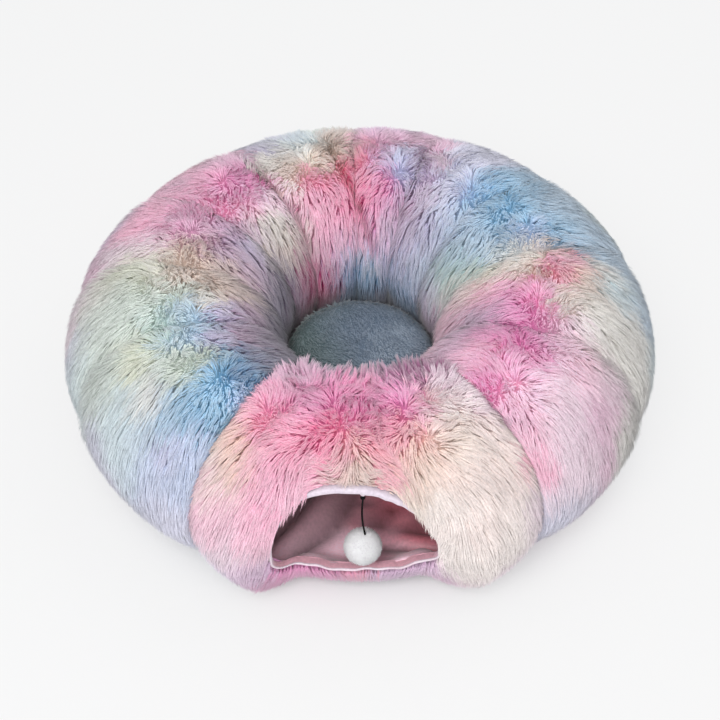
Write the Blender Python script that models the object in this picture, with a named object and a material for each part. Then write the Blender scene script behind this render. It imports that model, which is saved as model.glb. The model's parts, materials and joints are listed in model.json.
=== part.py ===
"""Plush cat tunnel: a ring of long-pile plush lobes over sprung hoops, with a mat in its hole.

Metres, +Z up. The origin is on the floor at the middle of the ring, and the entrance faces -Y.
"""

import math

import bmesh
import bpy
from mathutils import Vector
from mathutils.bvhtree import BVHTree

# Ring and tube. A seam is where the tube is gathered in over a hoop, and a lobe swells between two.
RING_RADIUS = 0.2525
SEAM_HALF_WIDTH = 0.126
SEAM_HALF_HEIGHT = 0.114
SEAM_LIFT = 0.002
LOBE_SWELL_SIDE = 0.0215
LOBE_SWELL_TOP = 0.008
LOBE_SWELL_BOTTOM = 0.012
LOBE_SLACK_SHARE = 0.33
HOLE_SLUMP_SHARE = 0.35
SEAM_ANGLES_DEG = (306, 338, 14, 42, 70, 92, 123, 146, 173, 200, 237)
FRONT_ANGLE_DEG = 270
GAP = 0.0003

# Front lobe: dented round the entrance, and swollen to each side of it
FRONT_SLACK_SHARE = 0.2
FRONT_DENT = 0.0375
FRONT_CORNER_SWELL = 0.013
FRONT_SQUARE_SHARE = 0.4
DENT_END_SHARE = 0.36
CORNER_SHARE = 0.66

# Layers of the tube wall, from the pile inwards
COVER_THICKNESS = 0.012
WIRE_DIAMETER = 0.0022
TAPE_WIDTH = 0.0052
TAPE_THICKNESS = 0.0006
LINING_THICKNESS = 0.0015

# Entrance: a wide arch over a flatter sill. Its brow is the fur between the arch and the hoops' tops.
ENTRANCE_HALF_WIDTH = 0.1025
ENTRANCE_ASIDE = -0.0055
ENTRANCE_SILL_HEIGHT = 0.063
ENTRANCE_BROW = 0.035
ENTRANCE_MID_SHARE = 0.318
SILL_SQUARE_SHARE = 0.6
BINDING_WIDTH = 0.006
BINDING_ROUNDING_SHARE = 0.33
BINDING_RECESS = 0.005
BINDING_PROUD = 0.001
CUT_OVERRUN = 0.030

# Toy that hangs in the entrance
TOY_ASIDE = 0.0035
TAB_WIDTH = 0.010
TAB_LENGTH = 0.006
TAB_THICKNESS = 0.002
TAB_INSET = 0.001
KNOT_RADIUS = 0.003
CORD_DIAMETER = 0.0025
BALL_RADIUS = 0.0231
BALL_CLEARANCE = 0.0031
# Route of the cord: sideways in metres, and how far down as a share of its length
CORD_ROUTE = ((0.0, 0.0), (-0.0009, 0.22), (-0.0010, 0.45), (0.0001, 0.7), (0.0018, 0.9), (0.0028, 1.0))

# Mat in the hole of the ring
MAT_CLEARANCE = 0.001
MAT_HEIGHT = 0.106
MAT_CROWN_SHARE = 0.2
MAT_RIM_SHARE = 0.6
MAT_FLAT_DEPTH = 0.006
MAT_COVER_THICKNESS = 0.004
MAT_BASE_THICKNESS = 0.003
MAT_ANGLES_DEG = (90, 80, 60, 36, 10, -16, -40, -60)

# How finely the pieces are faceted
TUBE_SIDES = 16
WIRE_SIDES = 5
MAT_SIDES = 24
ENTRANCE_POINTS = 40
LOBE_SHARES = (-0.86, -0.5, 0.0, 0.5, 0.86)
LOBE_BACK_SHARES = (-0.55, 0.55)
FRONT_SHARES = (-0.93, -0.8, -0.66, -0.55, -0.43, -0.25, 0.0, 0.25, 0.43, 0.55, 0.66, 0.8, 0.93)
LINING_SHARES = (0.0,)
LINING_SWELL_SHARE = 0.6
CORD_STEP = 0.005
CORD_SIDE_COUNT = 2
KNOT_DIVISION_COUNT = 2
BALL_DIVISION_COUNT = 3
SHARP_ANGLE_DEG = 50
WELD_DISTANCE = 0.00003

# What follows from the sizes above
TUBE_HEIGHT = SEAM_HALF_HEIGHT + SEAM_LIFT
SEAM_BAND = TAPE_WIDTH / 2 + 2 * GAP
WIRE_DEPTH = COVER_THICKNESS + GAP + WIRE_DIAMETER / 2
TAPE_DEPTH = COVER_THICKNESS + WIRE_DIAMETER + 2 * GAP
LINING_DEPTH = TAPE_DEPTH + TAPE_THICKNESS + GAP
LINING_BACK = LINING_DEPTH + LINING_THICKNESS
LOBE_REACH = SEAM_HALF_WIDTH + LOBE_SWELL_SIDE
MAT_RADIUS = RING_RADIUS - LOBE_REACH - MAT_CLEARANCE
ENTRANCE_TOP = TUBE_HEIGHT + SEAM_HALF_HEIGHT - ENTRANCE_BROW
ENTRANCE_RISE = (ENTRANCE_TOP - ENTRANCE_SILL_HEIGHT) * (1 - ENTRANCE_MID_SHARE)
ENTRANCE_MID_HEIGHT = ENTRANCE_TOP - ENTRANCE_RISE
ENTRANCE_DROP = ENTRANCE_MID_HEIGHT - ENTRANCE_SILL_HEIGHT
BINDING_ROUNDING = BINDING_WIDTH * BINDING_ROUNDING_SHARE
OUTSIDE = RING_RADIUS + LOBE_REACH + FRONT_CORNER_SWELL + CUT_OVERRUN
SEAM_ANGLES = [math.radians(angle) for angle in SEAM_ANGLES_DEG]

# Dye colours, in linear light
ROSE = (0.76, 0.34, 0.50)
LILAC = (0.58, 0.45, 0.74)
SKY = (0.36, 0.58, 0.76)
SAGE = (0.62, 0.72, 0.62)
CREAM = (0.80, 0.70, 0.56)
ORCHID = (0.68, 0.30, 0.55)
PANEL_COLOURS = (CREAM, ORCHID, SAGE, SKY, LILAC, ROSE, CREAM, ROSE, SAGE, SKY)
STEEL = (0.45, 0.46, 0.48)
TAPE_PINK = (0.85, 0.78, 0.80)
LINING_MAUVE = (0.50, 0.30, 0.36)
BINDING_PINK = (0.83, 0.66, 0.70)
CORD_BLACK = (0.01, 0.01, 0.01)
BALL_WHITE = (0.85, 0.85, 0.87)
MAT_BLUE = (0.42, 0.52, 0.60)
FIBRE_WHITE = (0.90, 0.90, 0.88)
BASE_GREY = (0.55, 0.55, 0.58)

# Roughness of each surface
PLUSH_ROUGHNESS = 0.9
SATIN_ROUGHNESS = 0.4
ELASTIC_ROUGHNESS = 0.7
STEEL_ROUGHNESS = 0.35


def clear_scene():
    for obj in list(bpy.data.objects):
        bpy.data.objects.remove(obj)


def finish(obj, colour, roughness=PLUSH_ROUGHNESS, metallic=0.0):
    """Gives the object its own material and shades it smooth."""
    material = bpy.data.materials.new(obj.name)
    material.use_nodes = True
    shader = material.node_tree.nodes["Principled BSDF"]
    shader.inputs["Base Color"].default_value = (*colour, 1.0)
    shader.inputs["Roughness"].default_value = roughness
    shader.inputs["Metallic"].default_value = metallic
    obj.data.materials.append(material)
    if obj.type == "MESH":
        obj.data.shade_smooth()
        obj.data.set_sharp_from_angle(angle=math.radians(SHARP_ANGLE_DEG))


def object_from(bm, name):
    bmesh.ops.recalc_face_normals(bm, faces=bm.faces)
    mesh = bpy.data.meshes.new(name)
    bm.to_mesh(mesh)
    bm.free()
    obj = bpy.data.objects.new(name, mesh)
    bpy.context.collection.objects.link(obj)
    return obj


def bridge(bm, first, second):
    """Joins two rings of vertices with triangles, all slanted the same way so that layers stay parallel."""
    for i in range(len(first)):
        j = (i + 1) % len(first)
        bm.faces.new((first[i], first[j], second[j]))
        bm.faces.new((first[i], second[j], second[i]))


def skin_over(bm, rings, closed=False):
    """A surface through rings of points, given in order. Its first and last rings of vertices."""
    loops = [[bm.verts.new(point) for point in ring] for ring in rings]
    for first, second in zip(loops, loops[1:]):
        bridge(bm, first, second)
    if closed:
        bridge(bm, loops[-1], loops[0])
    return loops[0], loops[-1]


def turned(name, profile, sides):
    """A solid turned about Z from (radius, height) points that start and end on the axis."""
    bm = bmesh.new()
    verts = [bm.verts.new((radius, 0.0, height)) for radius, height in profile]
    edges = [bm.edges.new(pair) for pair in zip(verts, verts[1:])]
    bmesh.ops.spin(bm, geom=verts + edges, axis=(0, 0, 1), angle=math.tau, steps=sides, use_merge=True)
    bmesh.ops.remove_doubles(bm, verts=bm.verts, dist=WELD_DISTANCE)
    return object_from(bm, name)


def smooth_step(low, high, value):
    share = min(max((value - low) / (high - low), 0.0), 1.0)
    return share * share * (3 - 2 * share)


def lobe_swell(share, slack):
    """How far a lobe has swollen, from 1 in its middle to 0 at its seams, where share is -1 and 1."""
    return math.sqrt(1 - abs(share) ** (1 / slack))


def front_reach(share):
    """How far the front lobe's outer side stands out past, or is dented in from, a plain lobe."""
    share = abs(share)
    if share > CORNER_SHARE:
        return FRONT_CORNER_SWELL * (1 - ((share - CORNER_SHARE) / (1 - CORNER_SHARE)) ** 2)
    rise = smooth_step(DENT_END_SHARE, CORNER_SHARE, share)
    return rise * (FRONT_DENT + FRONT_CORNER_SWELL) - FRONT_DENT


def tube_point(angle, phi, depth, share=None, swell_share=1.0, front=False, along=0.0):
    """A point of the tube wall, depth below its pile.

    angle runs round the ring and phi round the tube, from its outer side over its top. share is the
    place between two seams, None at a seam, and along is the distance past a seam's plane.
    """
    slack = FRONT_SLACK_SHARE if front else LOBE_SLACK_SHARE
    swell = 0.0 if share is None else lobe_swell(share, slack) * swell_share
    across = math.cos(phi)
    up = math.sin(phi)
    half_width = SEAM_HALF_WIDTH + LOBE_SWELL_SIDE * swell - depth
    lobe_height = LOBE_SWELL_TOP if up > 0 else LOBE_SWELL_BOTTOM
    half_height = SEAM_HALF_HEIGHT + lobe_height * swell - depth
    if front and share is not None and across > 0:
        half_width += front_reach(share)
        fades = (DENT_END_SHARE, CORNER_SHARE) if up > 0 else (CORNER_SHARE, 1.0)
        across **= 1 - FRONT_SQUARE_SHARE * (1 - smooth_step(*fades, abs(share)))
    if across < 0 and up < 0:
        across = -abs(across) ** (1 - HOLE_SLUMP_SHARE * swell)
    radius = RING_RADIUS + half_width * across
    height = max(TUBE_HEIGHT + half_height * up, depth)
    x = radius * math.cos(angle) - along * math.sin(angle)
    y = radius * math.sin(angle) + along * math.cos(angle)
    return Vector((x, y, height))


def tube_ring(angle, depth, **place):
    phis = [math.tau * i / TUBE_SIDES for i in range(TUBE_SIDES)]
    return [tube_point(angle, phi, depth, **place) for phi in phis]


def lobe_rings(start, end, depth, shares, front=False, swell_share=1.0):
    """Rings along one lobe, without its end faces: a flat band past each seam, and the swell between."""
    rings = [tube_ring(start, depth, along=SEAM_BAND)]
    middle = math.radians(FRONT_ANGLE_DEG) if front else (start + end) / 2
    for share in shares:
        angle = middle + share * (end - middle if share > 0 else middle - start)
        rings.append(tube_ring(angle, depth, share=share, front=front, swell_share=swell_share))
    return rings + [tube_ring(end, depth, along=-SEAM_BAND)]


def lobes():
    """Start and end angle of each lobe and whether it is the front one, from seam to seam."""
    front = math.radians(FRONT_ANGLE_DEG)
    for start, end in zip(SEAM_ANGLES, SEAM_ANGLES[1:] + SEAM_ANGLES[:1]):
        if end < start:
            end += math.tau
        yield start, end, start < front < end


def cover_panel(name, start, end, front):
    """One plush panel: a sleeve from seam to seam, flat where it lies on the floor."""
    outer = FRONT_SHARES if front else LOBE_SHARES
    inner = FRONT_SHARES if front else LOBE_BACK_SHARES
    bm = bmesh.new()
    edges = []
    for depth, shares in ((0.0, outer), (COVER_THICKNESS, inner)):
        first = tube_ring(start, depth, along=GAP / 2)
        last = tube_ring(end, depth, along=-GAP / 2)
        edges.append(skin_over(bm, [first] + lobe_rings(start, end, depth, shares, front) + [last]))
    for skin_edge, back_edge in zip(*edges):
        bridge(bm, skin_edge, back_edge)
    return object_from(bm, name)


def whole_tube(depth):
    """The whole ring's surface at a depth that lies inside the hoops."""
    rings = []
    for start, end, front in lobes():
        shares = FRONT_SHARES if front else LINING_SHARES
        swell_share = 1.0 if front else LINING_SWELL_SHARE
        rings += lobe_rings(start, end, depth, shares, front, swell_share)
    bm = bmesh.new()
    skin_over(bm, rings, closed=True)
    bmesh.ops.recalc_face_normals(bm, faces=bm.faces)
    return bm


def front_surface(depth):
    """The front lobe's surface at one depth, to cast rays on."""
    start, end = next((start, end) for start, end, front in lobes() if front)
    bm = bmesh.new()
    skin_over(bm, lobe_rings(start, end, depth, FRONT_SHARES, front=True))
    tree = BVHTree.FromBMesh(bm)
    bm.free()
    return tree


def front_y(surface, x, z):
    """Where a ray from in front meets the surface."""
    return surface.ray_cast(Vector((x, -OUTSIDE, z)), Vector((0, 1, 0)))[0].y


def entrance_outline(grow):
    """Points (x, z) of the arch and its sill, grown outwards by a distance."""
    points = []
    for i in range(ENTRANCE_POINTS):
        turn = math.tau * i / ENTRANCE_POINTS
        across, up = math.cos(turn), math.sin(turn)
        height = ENTRANCE_RISE + grow
        if up < 0:
            across = math.copysign(abs(across) ** SILL_SQUARE_SHARE, across)
            up = -abs(up) ** SILL_SQUARE_SHARE
            height = ENTRANCE_DROP + grow
        x = ENTRANCE_ASIDE + (ENTRANCE_HALF_WIDTH + grow) * across
        points.append((x, ENTRANCE_MID_HEIGHT + height * up))
    return points


def entrance_cutter():
    outline = entrance_outline(BINDING_WIDTH + GAP)
    bm = bmesh.new()
    near = bm.faces.new([bm.verts.new((x, -RING_RADIUS, z)) for x, z in outline])
    made = bmesh.ops.extrude_face_region(bm, geom=[near])
    far = [item for item in made["geom"] if isinstance(item, bmesh.types.BMVert)]
    bmesh.ops.translate(bm, verts=far, vec=(0.0, RING_RADIUS - OUTSIDE, 0.0))
    cutter = object_from(bm, "entrance_cutter")
    cutter.hide_render = True
    cutter.display_type = "WIRE"
    return cutter


def cut_entrance(obj, cutter):
    cut = obj.modifiers.new("entrance", "BOOLEAN")
    cut.operation = "DIFFERENCE"
    cut.solver = "EXACT"
    cut.object = cutter


def inner_lining():
    """The satin sleeve inside the hoops, all the way round the ring."""
    bm = whole_tube(LINING_DEPTH)
    back = whole_tube(LINING_BACK)
    bmesh.ops.reverse_faces(back, faces=back.faces)
    both = bpy.data.meshes.new("inner_lining")
    back.to_mesh(both)
    back.free()
    bm.from_mesh(both)
    bm.to_mesh(both)
    bm.free()
    obj = bpy.data.objects.new("inner_lining", both)
    bpy.context.collection.objects.link(obj)
    return obj


def hoop(name, angle):
    """Sprung wire, closed on itself, in the plane of a seam."""
    bm = bmesh.new()
    rings = []
    for i in range(WIRE_SIDES):
        turn = math.tau * i / WIRE_SIDES
        depth = WIRE_DEPTH + WIRE_DIAMETER / 2 * math.cos(turn)
        rings.append(tube_ring(angle, depth, along=WIRE_DIAMETER / 2 * math.sin(turn)))
    skin_over(bm, rings, closed=True)
    return object_from(bm, name)


def casing_tape(name, angle):
    """Flat tape that holds a hoop to the inside of its seam."""
    corners = (
        (TAPE_DEPTH, -TAPE_WIDTH / 2),
        (TAPE_DEPTH, TAPE_WIDTH / 2),
        (TAPE_DEPTH + TAPE_THICKNESS, TAPE_WIDTH / 2),
        (TAPE_DEPTH + TAPE_THICKNESS, -TAPE_WIDTH / 2),
    )
    bm = bmesh.new()
    skin_over(bm, [tube_ring(angle, depth, along=along) for depth, along in corners], closed=True)
    return object_from(bm, name)


def entrance_binding():
    """Satin binding round the entrance. It spans the cover, the hollow behind it and the lining."""
    front = front_surface(BINDING_RECESS)
    back = front_surface(LINING_BACK + BINDING_PROUD)
    section = (
        (0.0, front, BINDING_ROUNDING),
        (BINDING_WIDTH / 2, front, 0.0),
        (BINDING_WIDTH, front, BINDING_ROUNDING),
        (BINDING_WIDTH, back, -BINDING_ROUNDING),
        (BINDING_WIDTH / 2, back, 0.0),
        (0.0, back, -BINDING_ROUNDING),
    )
    rings = []
    for grow, surface, inset in section:
        ring = []
        for x, z in entrance_outline(grow):
            ring.append(Vector((x, front_y(surface, x, z) + inset, z)))
        rings.append(ring)
    bm = bmesh.new()
    skin_over(bm, rings, closed=True)
    return object_from(bm, "entrance_binding")


def tab_under(binding):
    """Small folded tab at the top of the entrance, hung under the binding. Also its lower end."""
    binding_front = front_y(front_surface(BINDING_RECESS), TOY_ASIDE, ENTRANCE_TOP) + BINDING_ROUNDING
    y = binding_front + TAB_INSET + TAB_THICKNESS / 2
    bm = bmesh.new()
    bm.from_mesh(binding.data)
    tree = BVHTree.FromBMesh(bm)
    bm.free()
    edges = (TOY_ASIDE - TAB_WIDTH / 2, TOY_ASIDE + TAB_WIDTH / 2)
    roof = min(tree.ray_cast(Vector((x, y, ENTRANCE_MID_HEIGHT)), Vector((0, 0, 1)))[0].z for x in edges)
    middle = Vector((TOY_ASIDE, y, roof - GAP - TAB_LENGTH / 2))
    bm = bmesh.new()
    bmesh.ops.create_cube(bm, size=1.0)
    bmesh.ops.scale(bm, vec=(TAB_WIDTH, TAB_THICKNESS, TAB_LENGTH), verts=bm.verts)
    bmesh.ops.translate(bm, vec=middle, verts=bm.verts)
    return object_from(bm, "cord_tab"), middle - Vector((0, 0, TAB_LENGTH / 2))


def sphere(name, centre, radius, subdivisions):
    bm = bmesh.new()
    bmesh.ops.create_icosphere(bm, subdivisions=subdivisions, radius=radius)
    obj = object_from(bm, name)
    obj.location = centre
    return obj


def smooth_route(points, count):
    """Points evenly along a smooth curve through the given ones."""
    points = [points[0] * 2 - points[1]] + points + [points[-1] * 2 - points[-2]]
    spans = len(points) - 3
    route = []
    for i in range(count):
        place = spans * i / (count - 1)
        span = min(int(place), spans - 1)
        t = place - span
        a, b, c, d = points[span : span + 4]
        tangents = (c - a) / 2, (d - b) / 2
        start = b * (2 * t**3 - 3 * t**2 + 1) + tangents[0] * (t**3 - 2 * t**2 + t)
        route.append(start + c * (3 * t**2 - 2 * t**3) + tangents[1] * (t**3 - t**2))
    return route


def toy_cord(top, length):
    """Black elastic from under the knot down to the ball."""
    points = [top + Vector((aside, 0, -share * length)) for aside, share in CORD_ROUTE]
    route = smooth_route(points, round(length / CORD_STEP))
    curve = bpy.data.curves.new("toy_cord", "CURVE")
    curve.dimensions = "3D"
    curve.bevel_depth = CORD_DIAMETER / 2
    curve.bevel_resolution = CORD_SIDE_COUNT
    curve.use_fill_caps = True
    spline = curve.splines.new("POLY")
    spline.points.add(len(route) - 1)
    for point, place in zip(spline.points, route):
        point.co = (*place, 1.0)
    obj = bpy.data.objects.new("toy_cord", curve)
    bpy.context.collection.objects.link(obj)
    return obj


def mat_outline(inset):
    """Half outline (radius, height) of the mat's cushion, a distance inside its surface."""
    middle = MAT_HEIGHT / 2
    points = []
    for angle in MAT_ANGLES_DEG:
        across = abs(math.cos(math.radians(angle))) ** MAT_CROWN_SHARE
        up = math.sin(math.radians(angle))
        half_height = middle - inset + (MAT_FLAT_DEPTH if up < 0 else 0.0)
        height = middle + half_height * math.copysign(abs(up) ** MAT_RIM_SHARE, up)
        points.append(((MAT_RADIUS - inset) * across, max(height, 0.0)))
    points[0] = (0.0, points[0][1])
    return points


def mat_pieces():
    """Plush top cover, fibre filling and base cloth of the mat."""
    skin = mat_outline(0.0)
    back = mat_outline(MAT_COVER_THICKNESS)
    back[-1] = (back[-1][0], 0.0)
    top = turned("mat_top_cover", skin + back[::-1], MAT_SIDES)
    base_radius = back[-1][0] - GAP
    base = turned(
        "mat_base_cloth",
        [(0.0, MAT_BASE_THICKNESS), (base_radius, MAT_BASE_THICKNESS), (base_radius, 0.0), (0.0, 0.0)],
        MAT_SIDES,
    )
    floor = MAT_BASE_THICKNESS + GAP
    core = [(radius, max(height, floor)) for radius, height in mat_outline(MAT_COVER_THICKNESS + GAP)]
    core[-1] = (core[-1][0], floor)
    filling = turned("mat_filling", core + [(0.0, floor)], MAT_SIDES)
    return top, filling, base


def hanging_toy(binding):
    """Tab, knot, cord and ball. The cord and the ball are parented to where they swing, in the knot."""
    tab, tab_end = tab_under(binding)
    finish(tab, BINDING_PINK, SATIN_ROUGHNESS)
    pivot = tab_end - Vector((0, 0, GAP + KNOT_RADIUS))
    finish(sphere("cord_knot", pivot, KNOT_RADIUS, KNOT_DIVISION_COUNT), CORD_BLACK, ELASTIC_ROUGHNESS)
    cord_top = pivot - Vector((0, 0, KNOT_RADIUS + GAP))
    ball_centre = Vector((pivot.x, pivot.y, ENTRANCE_SILL_HEIGHT + BALL_CLEARANCE + BALL_RADIUS))
    cord = toy_cord(cord_top, cord_top.z - ball_centre.z - BALL_RADIUS - GAP)
    finish(cord, CORD_BLACK, ELASTIC_ROUGHNESS)
    ball = sphere("toy_ball", ball_centre, BALL_RADIUS, BALL_DIVISION_COUNT)
    finish(ball, BALL_WHITE)
    swing = bpy.data.objects.new("toy_swing", None)
    swing.location = pivot
    bpy.context.collection.objects.link(swing)
    for piece in (cord, ball):
        piece.parent = swing
        piece.matrix_parent_inverse.translation = -pivot


def build():
    clear_scene()
    cutter = entrance_cutter()
    panels = []
    for start, end, front in lobes():
        if front:
            cover = cover_panel("cover_front", start, end, front)
            cut_entrance(cover, cutter)
            finish(cover, ROSE)
        else:
            panels.append(cover_panel(f"cover_panel_{len(panels) + 1:02d}", start, end, front))
    for panel, colour in zip(panels, PANEL_COLOURS):
        finish(panel, colour)
    for i, angle in enumerate(SEAM_ANGLES, start=1):
        finish(hoop(f"hoop_{i:02d}", angle), STEEL, STEEL_ROUGHNESS, metallic=1.0)
        finish(casing_tape(f"casing_tape_{i:02d}", angle), TAPE_PINK)
    lining = inner_lining()
    cut_entrance(lining, cutter)
    finish(lining, LINING_MAUVE, SATIN_ROUGHNESS)
    binding = entrance_binding()
    finish(binding, BINDING_PINK, SATIN_ROUGHNESS)
    hanging_toy(binding)
    for piece, colour in zip(mat_pieces(), (MAT_BLUE, FIBRE_WHITE, BASE_GREY)):
        finish(piece, colour)


build()
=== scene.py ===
"""Dresses the plush cat tunnel: long-pile dyed lobes, satin inside, a hanging ball and a mat.

Metres, +Z up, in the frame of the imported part. The entrance faces -Y.
"""

import json
import math

import bmesh
import bpy
import numpy as np
from bpy.props import FloatProperty, FloatVectorProperty, IntProperty, PointerProperty
from bpy.types import Operator, Panel, PropertyGroup
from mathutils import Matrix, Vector
from mathutils.bvhtree import BVHTree
from mathutils.kdtree import KDTree

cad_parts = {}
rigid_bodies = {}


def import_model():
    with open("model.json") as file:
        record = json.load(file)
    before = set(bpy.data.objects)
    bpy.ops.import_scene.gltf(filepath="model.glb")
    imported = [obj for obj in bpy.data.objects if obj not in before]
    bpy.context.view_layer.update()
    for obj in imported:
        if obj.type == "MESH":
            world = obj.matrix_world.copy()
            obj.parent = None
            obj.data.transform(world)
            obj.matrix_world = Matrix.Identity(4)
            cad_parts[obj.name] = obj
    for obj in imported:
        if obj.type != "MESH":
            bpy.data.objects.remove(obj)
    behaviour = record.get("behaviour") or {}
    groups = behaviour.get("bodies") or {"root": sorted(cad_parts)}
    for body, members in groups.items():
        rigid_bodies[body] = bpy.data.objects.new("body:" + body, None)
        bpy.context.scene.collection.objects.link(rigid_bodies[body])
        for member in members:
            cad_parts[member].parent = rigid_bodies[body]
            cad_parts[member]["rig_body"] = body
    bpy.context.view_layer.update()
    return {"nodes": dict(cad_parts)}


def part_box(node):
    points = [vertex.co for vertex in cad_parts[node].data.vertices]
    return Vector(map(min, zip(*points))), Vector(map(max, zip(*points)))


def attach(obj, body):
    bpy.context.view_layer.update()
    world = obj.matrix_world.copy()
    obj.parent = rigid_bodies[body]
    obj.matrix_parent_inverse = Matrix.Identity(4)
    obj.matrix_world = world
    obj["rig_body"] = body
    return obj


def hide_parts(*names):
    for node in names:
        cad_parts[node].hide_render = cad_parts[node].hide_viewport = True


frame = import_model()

bl_info = {
    "name": "Plush Cat Tunnel",
    "version": (1, 0, 0),
    "blender": (4, 5, 0),
    "location": "3D View > Sidebar > Plush Tunnel",
    "description": "Dresses a ring tunnel of long-pile plush with its mat and hanging ball",
    "category": "Add Mesh",
}

# The tube's form, as the part's source gives it
RING_RADIUS = 0.2525
SEAM_HALF_WIDTH = 0.126
SEAM_HALF_HEIGHT = 0.114
TUBE_HEIGHT = 0.116
LOBE_SWELL_SIDE = 0.0215
LOBE_SWELL_TOP = 0.008
LOBE_SWELL_BOTTOM = 0.012
LOBE_SLACK_SHARE = 0.33
HOLE_SLUMP_SHARE = 0.35
SEAM_ANGLES_DEG = (306, 338, 374, 402, 430, 452, 483, 506, 533, 560, 597, 666)
FRONT_ANGLE_DEG = 630
FRONT_SLACK_SHARE = 0.2
FRONT_DENT = 0.0375
FRONT_CORNER_SWELL = 0.013
FRONT_SQUARE_SHARE = 0.4
DENT_END_SHARE = 0.36
CORNER_SHARE = 0.66
LINING_DEPTH = 0.0157
TAPE_DEPTH = 0.0148
TAPE_WIDTH = 0.0052
TAPE_THICKNESS = 0.0006
TUBE_MEAN_RADIUS = 0.118

# The entrance, as the part's source gives it
ENTRANCE_ASIDE = -0.0055
ENTRANCE_HALF_WIDTH = 0.1025
ENTRANCE_TOP = 0.195
ENTRANCE_SILL_HEIGHT = 0.063
ENTRANCE_MID_HEIGHT = 0.105
SILL_SQUARE_SHARE = 0.6
ARCH_POWER_LEFT = 2.4
ARCH_POWER_RIGHT = 1.8
BINDING_WIDTH = 0.006

# The mat, as the part's source gives it
MAT_RADIUS = 0.104
MAT_HEIGHT = 0.106
MAT_CROWN_SHARE = 0.2
MAT_RIM_SHARE = 0.6

# The toy's cord: points from under its knot down to the ball
CORD_POINTS = (
    (0.0035, 0.18112),
    (0.0026, 0.166),
    (0.0025, 0.1502),
    (0.0036, 0.1331),
    (0.0053, 0.1194),
    (0.0063, 0.1126),
)
CORD_DIAMETER = 0.0025
KNOT_HALF_SIZES = (0.0029, 0.0027, 0.0027)

# The camera that was fitted to the photograph
CAMERA_TARGET = Vector((0, 0, 0.1))
CAMERA_DISTANCE = 2.3
CAMERA_TILT = math.radians(45.67)
CAMERA_LENS_MM = 83.35
CAMERA_SHIFT = -0.0175

# Where the dyes were splashed on each lobe, with dusk and plum splashes that paint shade where the pile
# turns into the hole:
# angle round the ring, angle round the tube, dye, and how far the splash ran in millimetres where that
# isn't the usual distance
FRONT_SPLASHES = """
241 60 peach, 236 72 peach, 235 62 peach 12, 236 50 white 12, 237 36 petal 12, 240 84 rose,
240 38 blush, 243 47 peach, 246 29 petal, 242 15 petal, 251 30 rose, 251 18 petal, 253 45 rose,
246 2 shell, 250 -16 lilac 16, 250 64 rose, 245 90 rose, 248 78 coral, 251 94 orchid, 254 82 rose,
255 68 coral, 257 56 rose, 257 44 petal, 260 82 hot 12, 260 71 hot 10, 263 61 tan 14, 265 73 coral,
264 86 coral, 262 101 orchid, 259 111 hot 16, 267 108 hot 10, 275 110 hot 10, 261 118 orchid,
270 100 orchid, 270 86 rose, 270 72 peach 12, 270 60 tan 12, 270 124 rose, 276 84 coral,
277 98 orchid, 276 72 coral 12, 276 60 coral 12, 280 66 peach, 282 82 coral, 283 97 orchid,
280 122 orchid, 250 124 pink_grey 24, 283 46 cream, 285 58 peach, 286 73 peach, 288 83 rose 12,
289 94 rose, 291 120 plum 12, 286 130 plum 12, 296 132 plum, 301 126 plum 14, 300 142 plum 24,
291 66 cream, 289 50 blush, 288 32 white, 292 78 blush, 296 90 white, 297 70 cream, 292 22 blush,
299 16 white 24, 300 56 blush 24, 300 36 blush, 301 105 shell, 302 80 shell, 304 42 hot 7,
305 10 shell, 256 -45 orchid 24, 263 -52 orchid 16, 270 -50 coral 12, 280 -40 lilac 24,
290 -12 white 24, 300 -45 shell 30, 250 -62 orchid 24, 270 -70 lilac 24, 290 -62 pink_grey 24,
262 150 dusk 30, 280 150 dusk 30, 240 -50 haze 30, 240 125 pink_grey 24
"""
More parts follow.
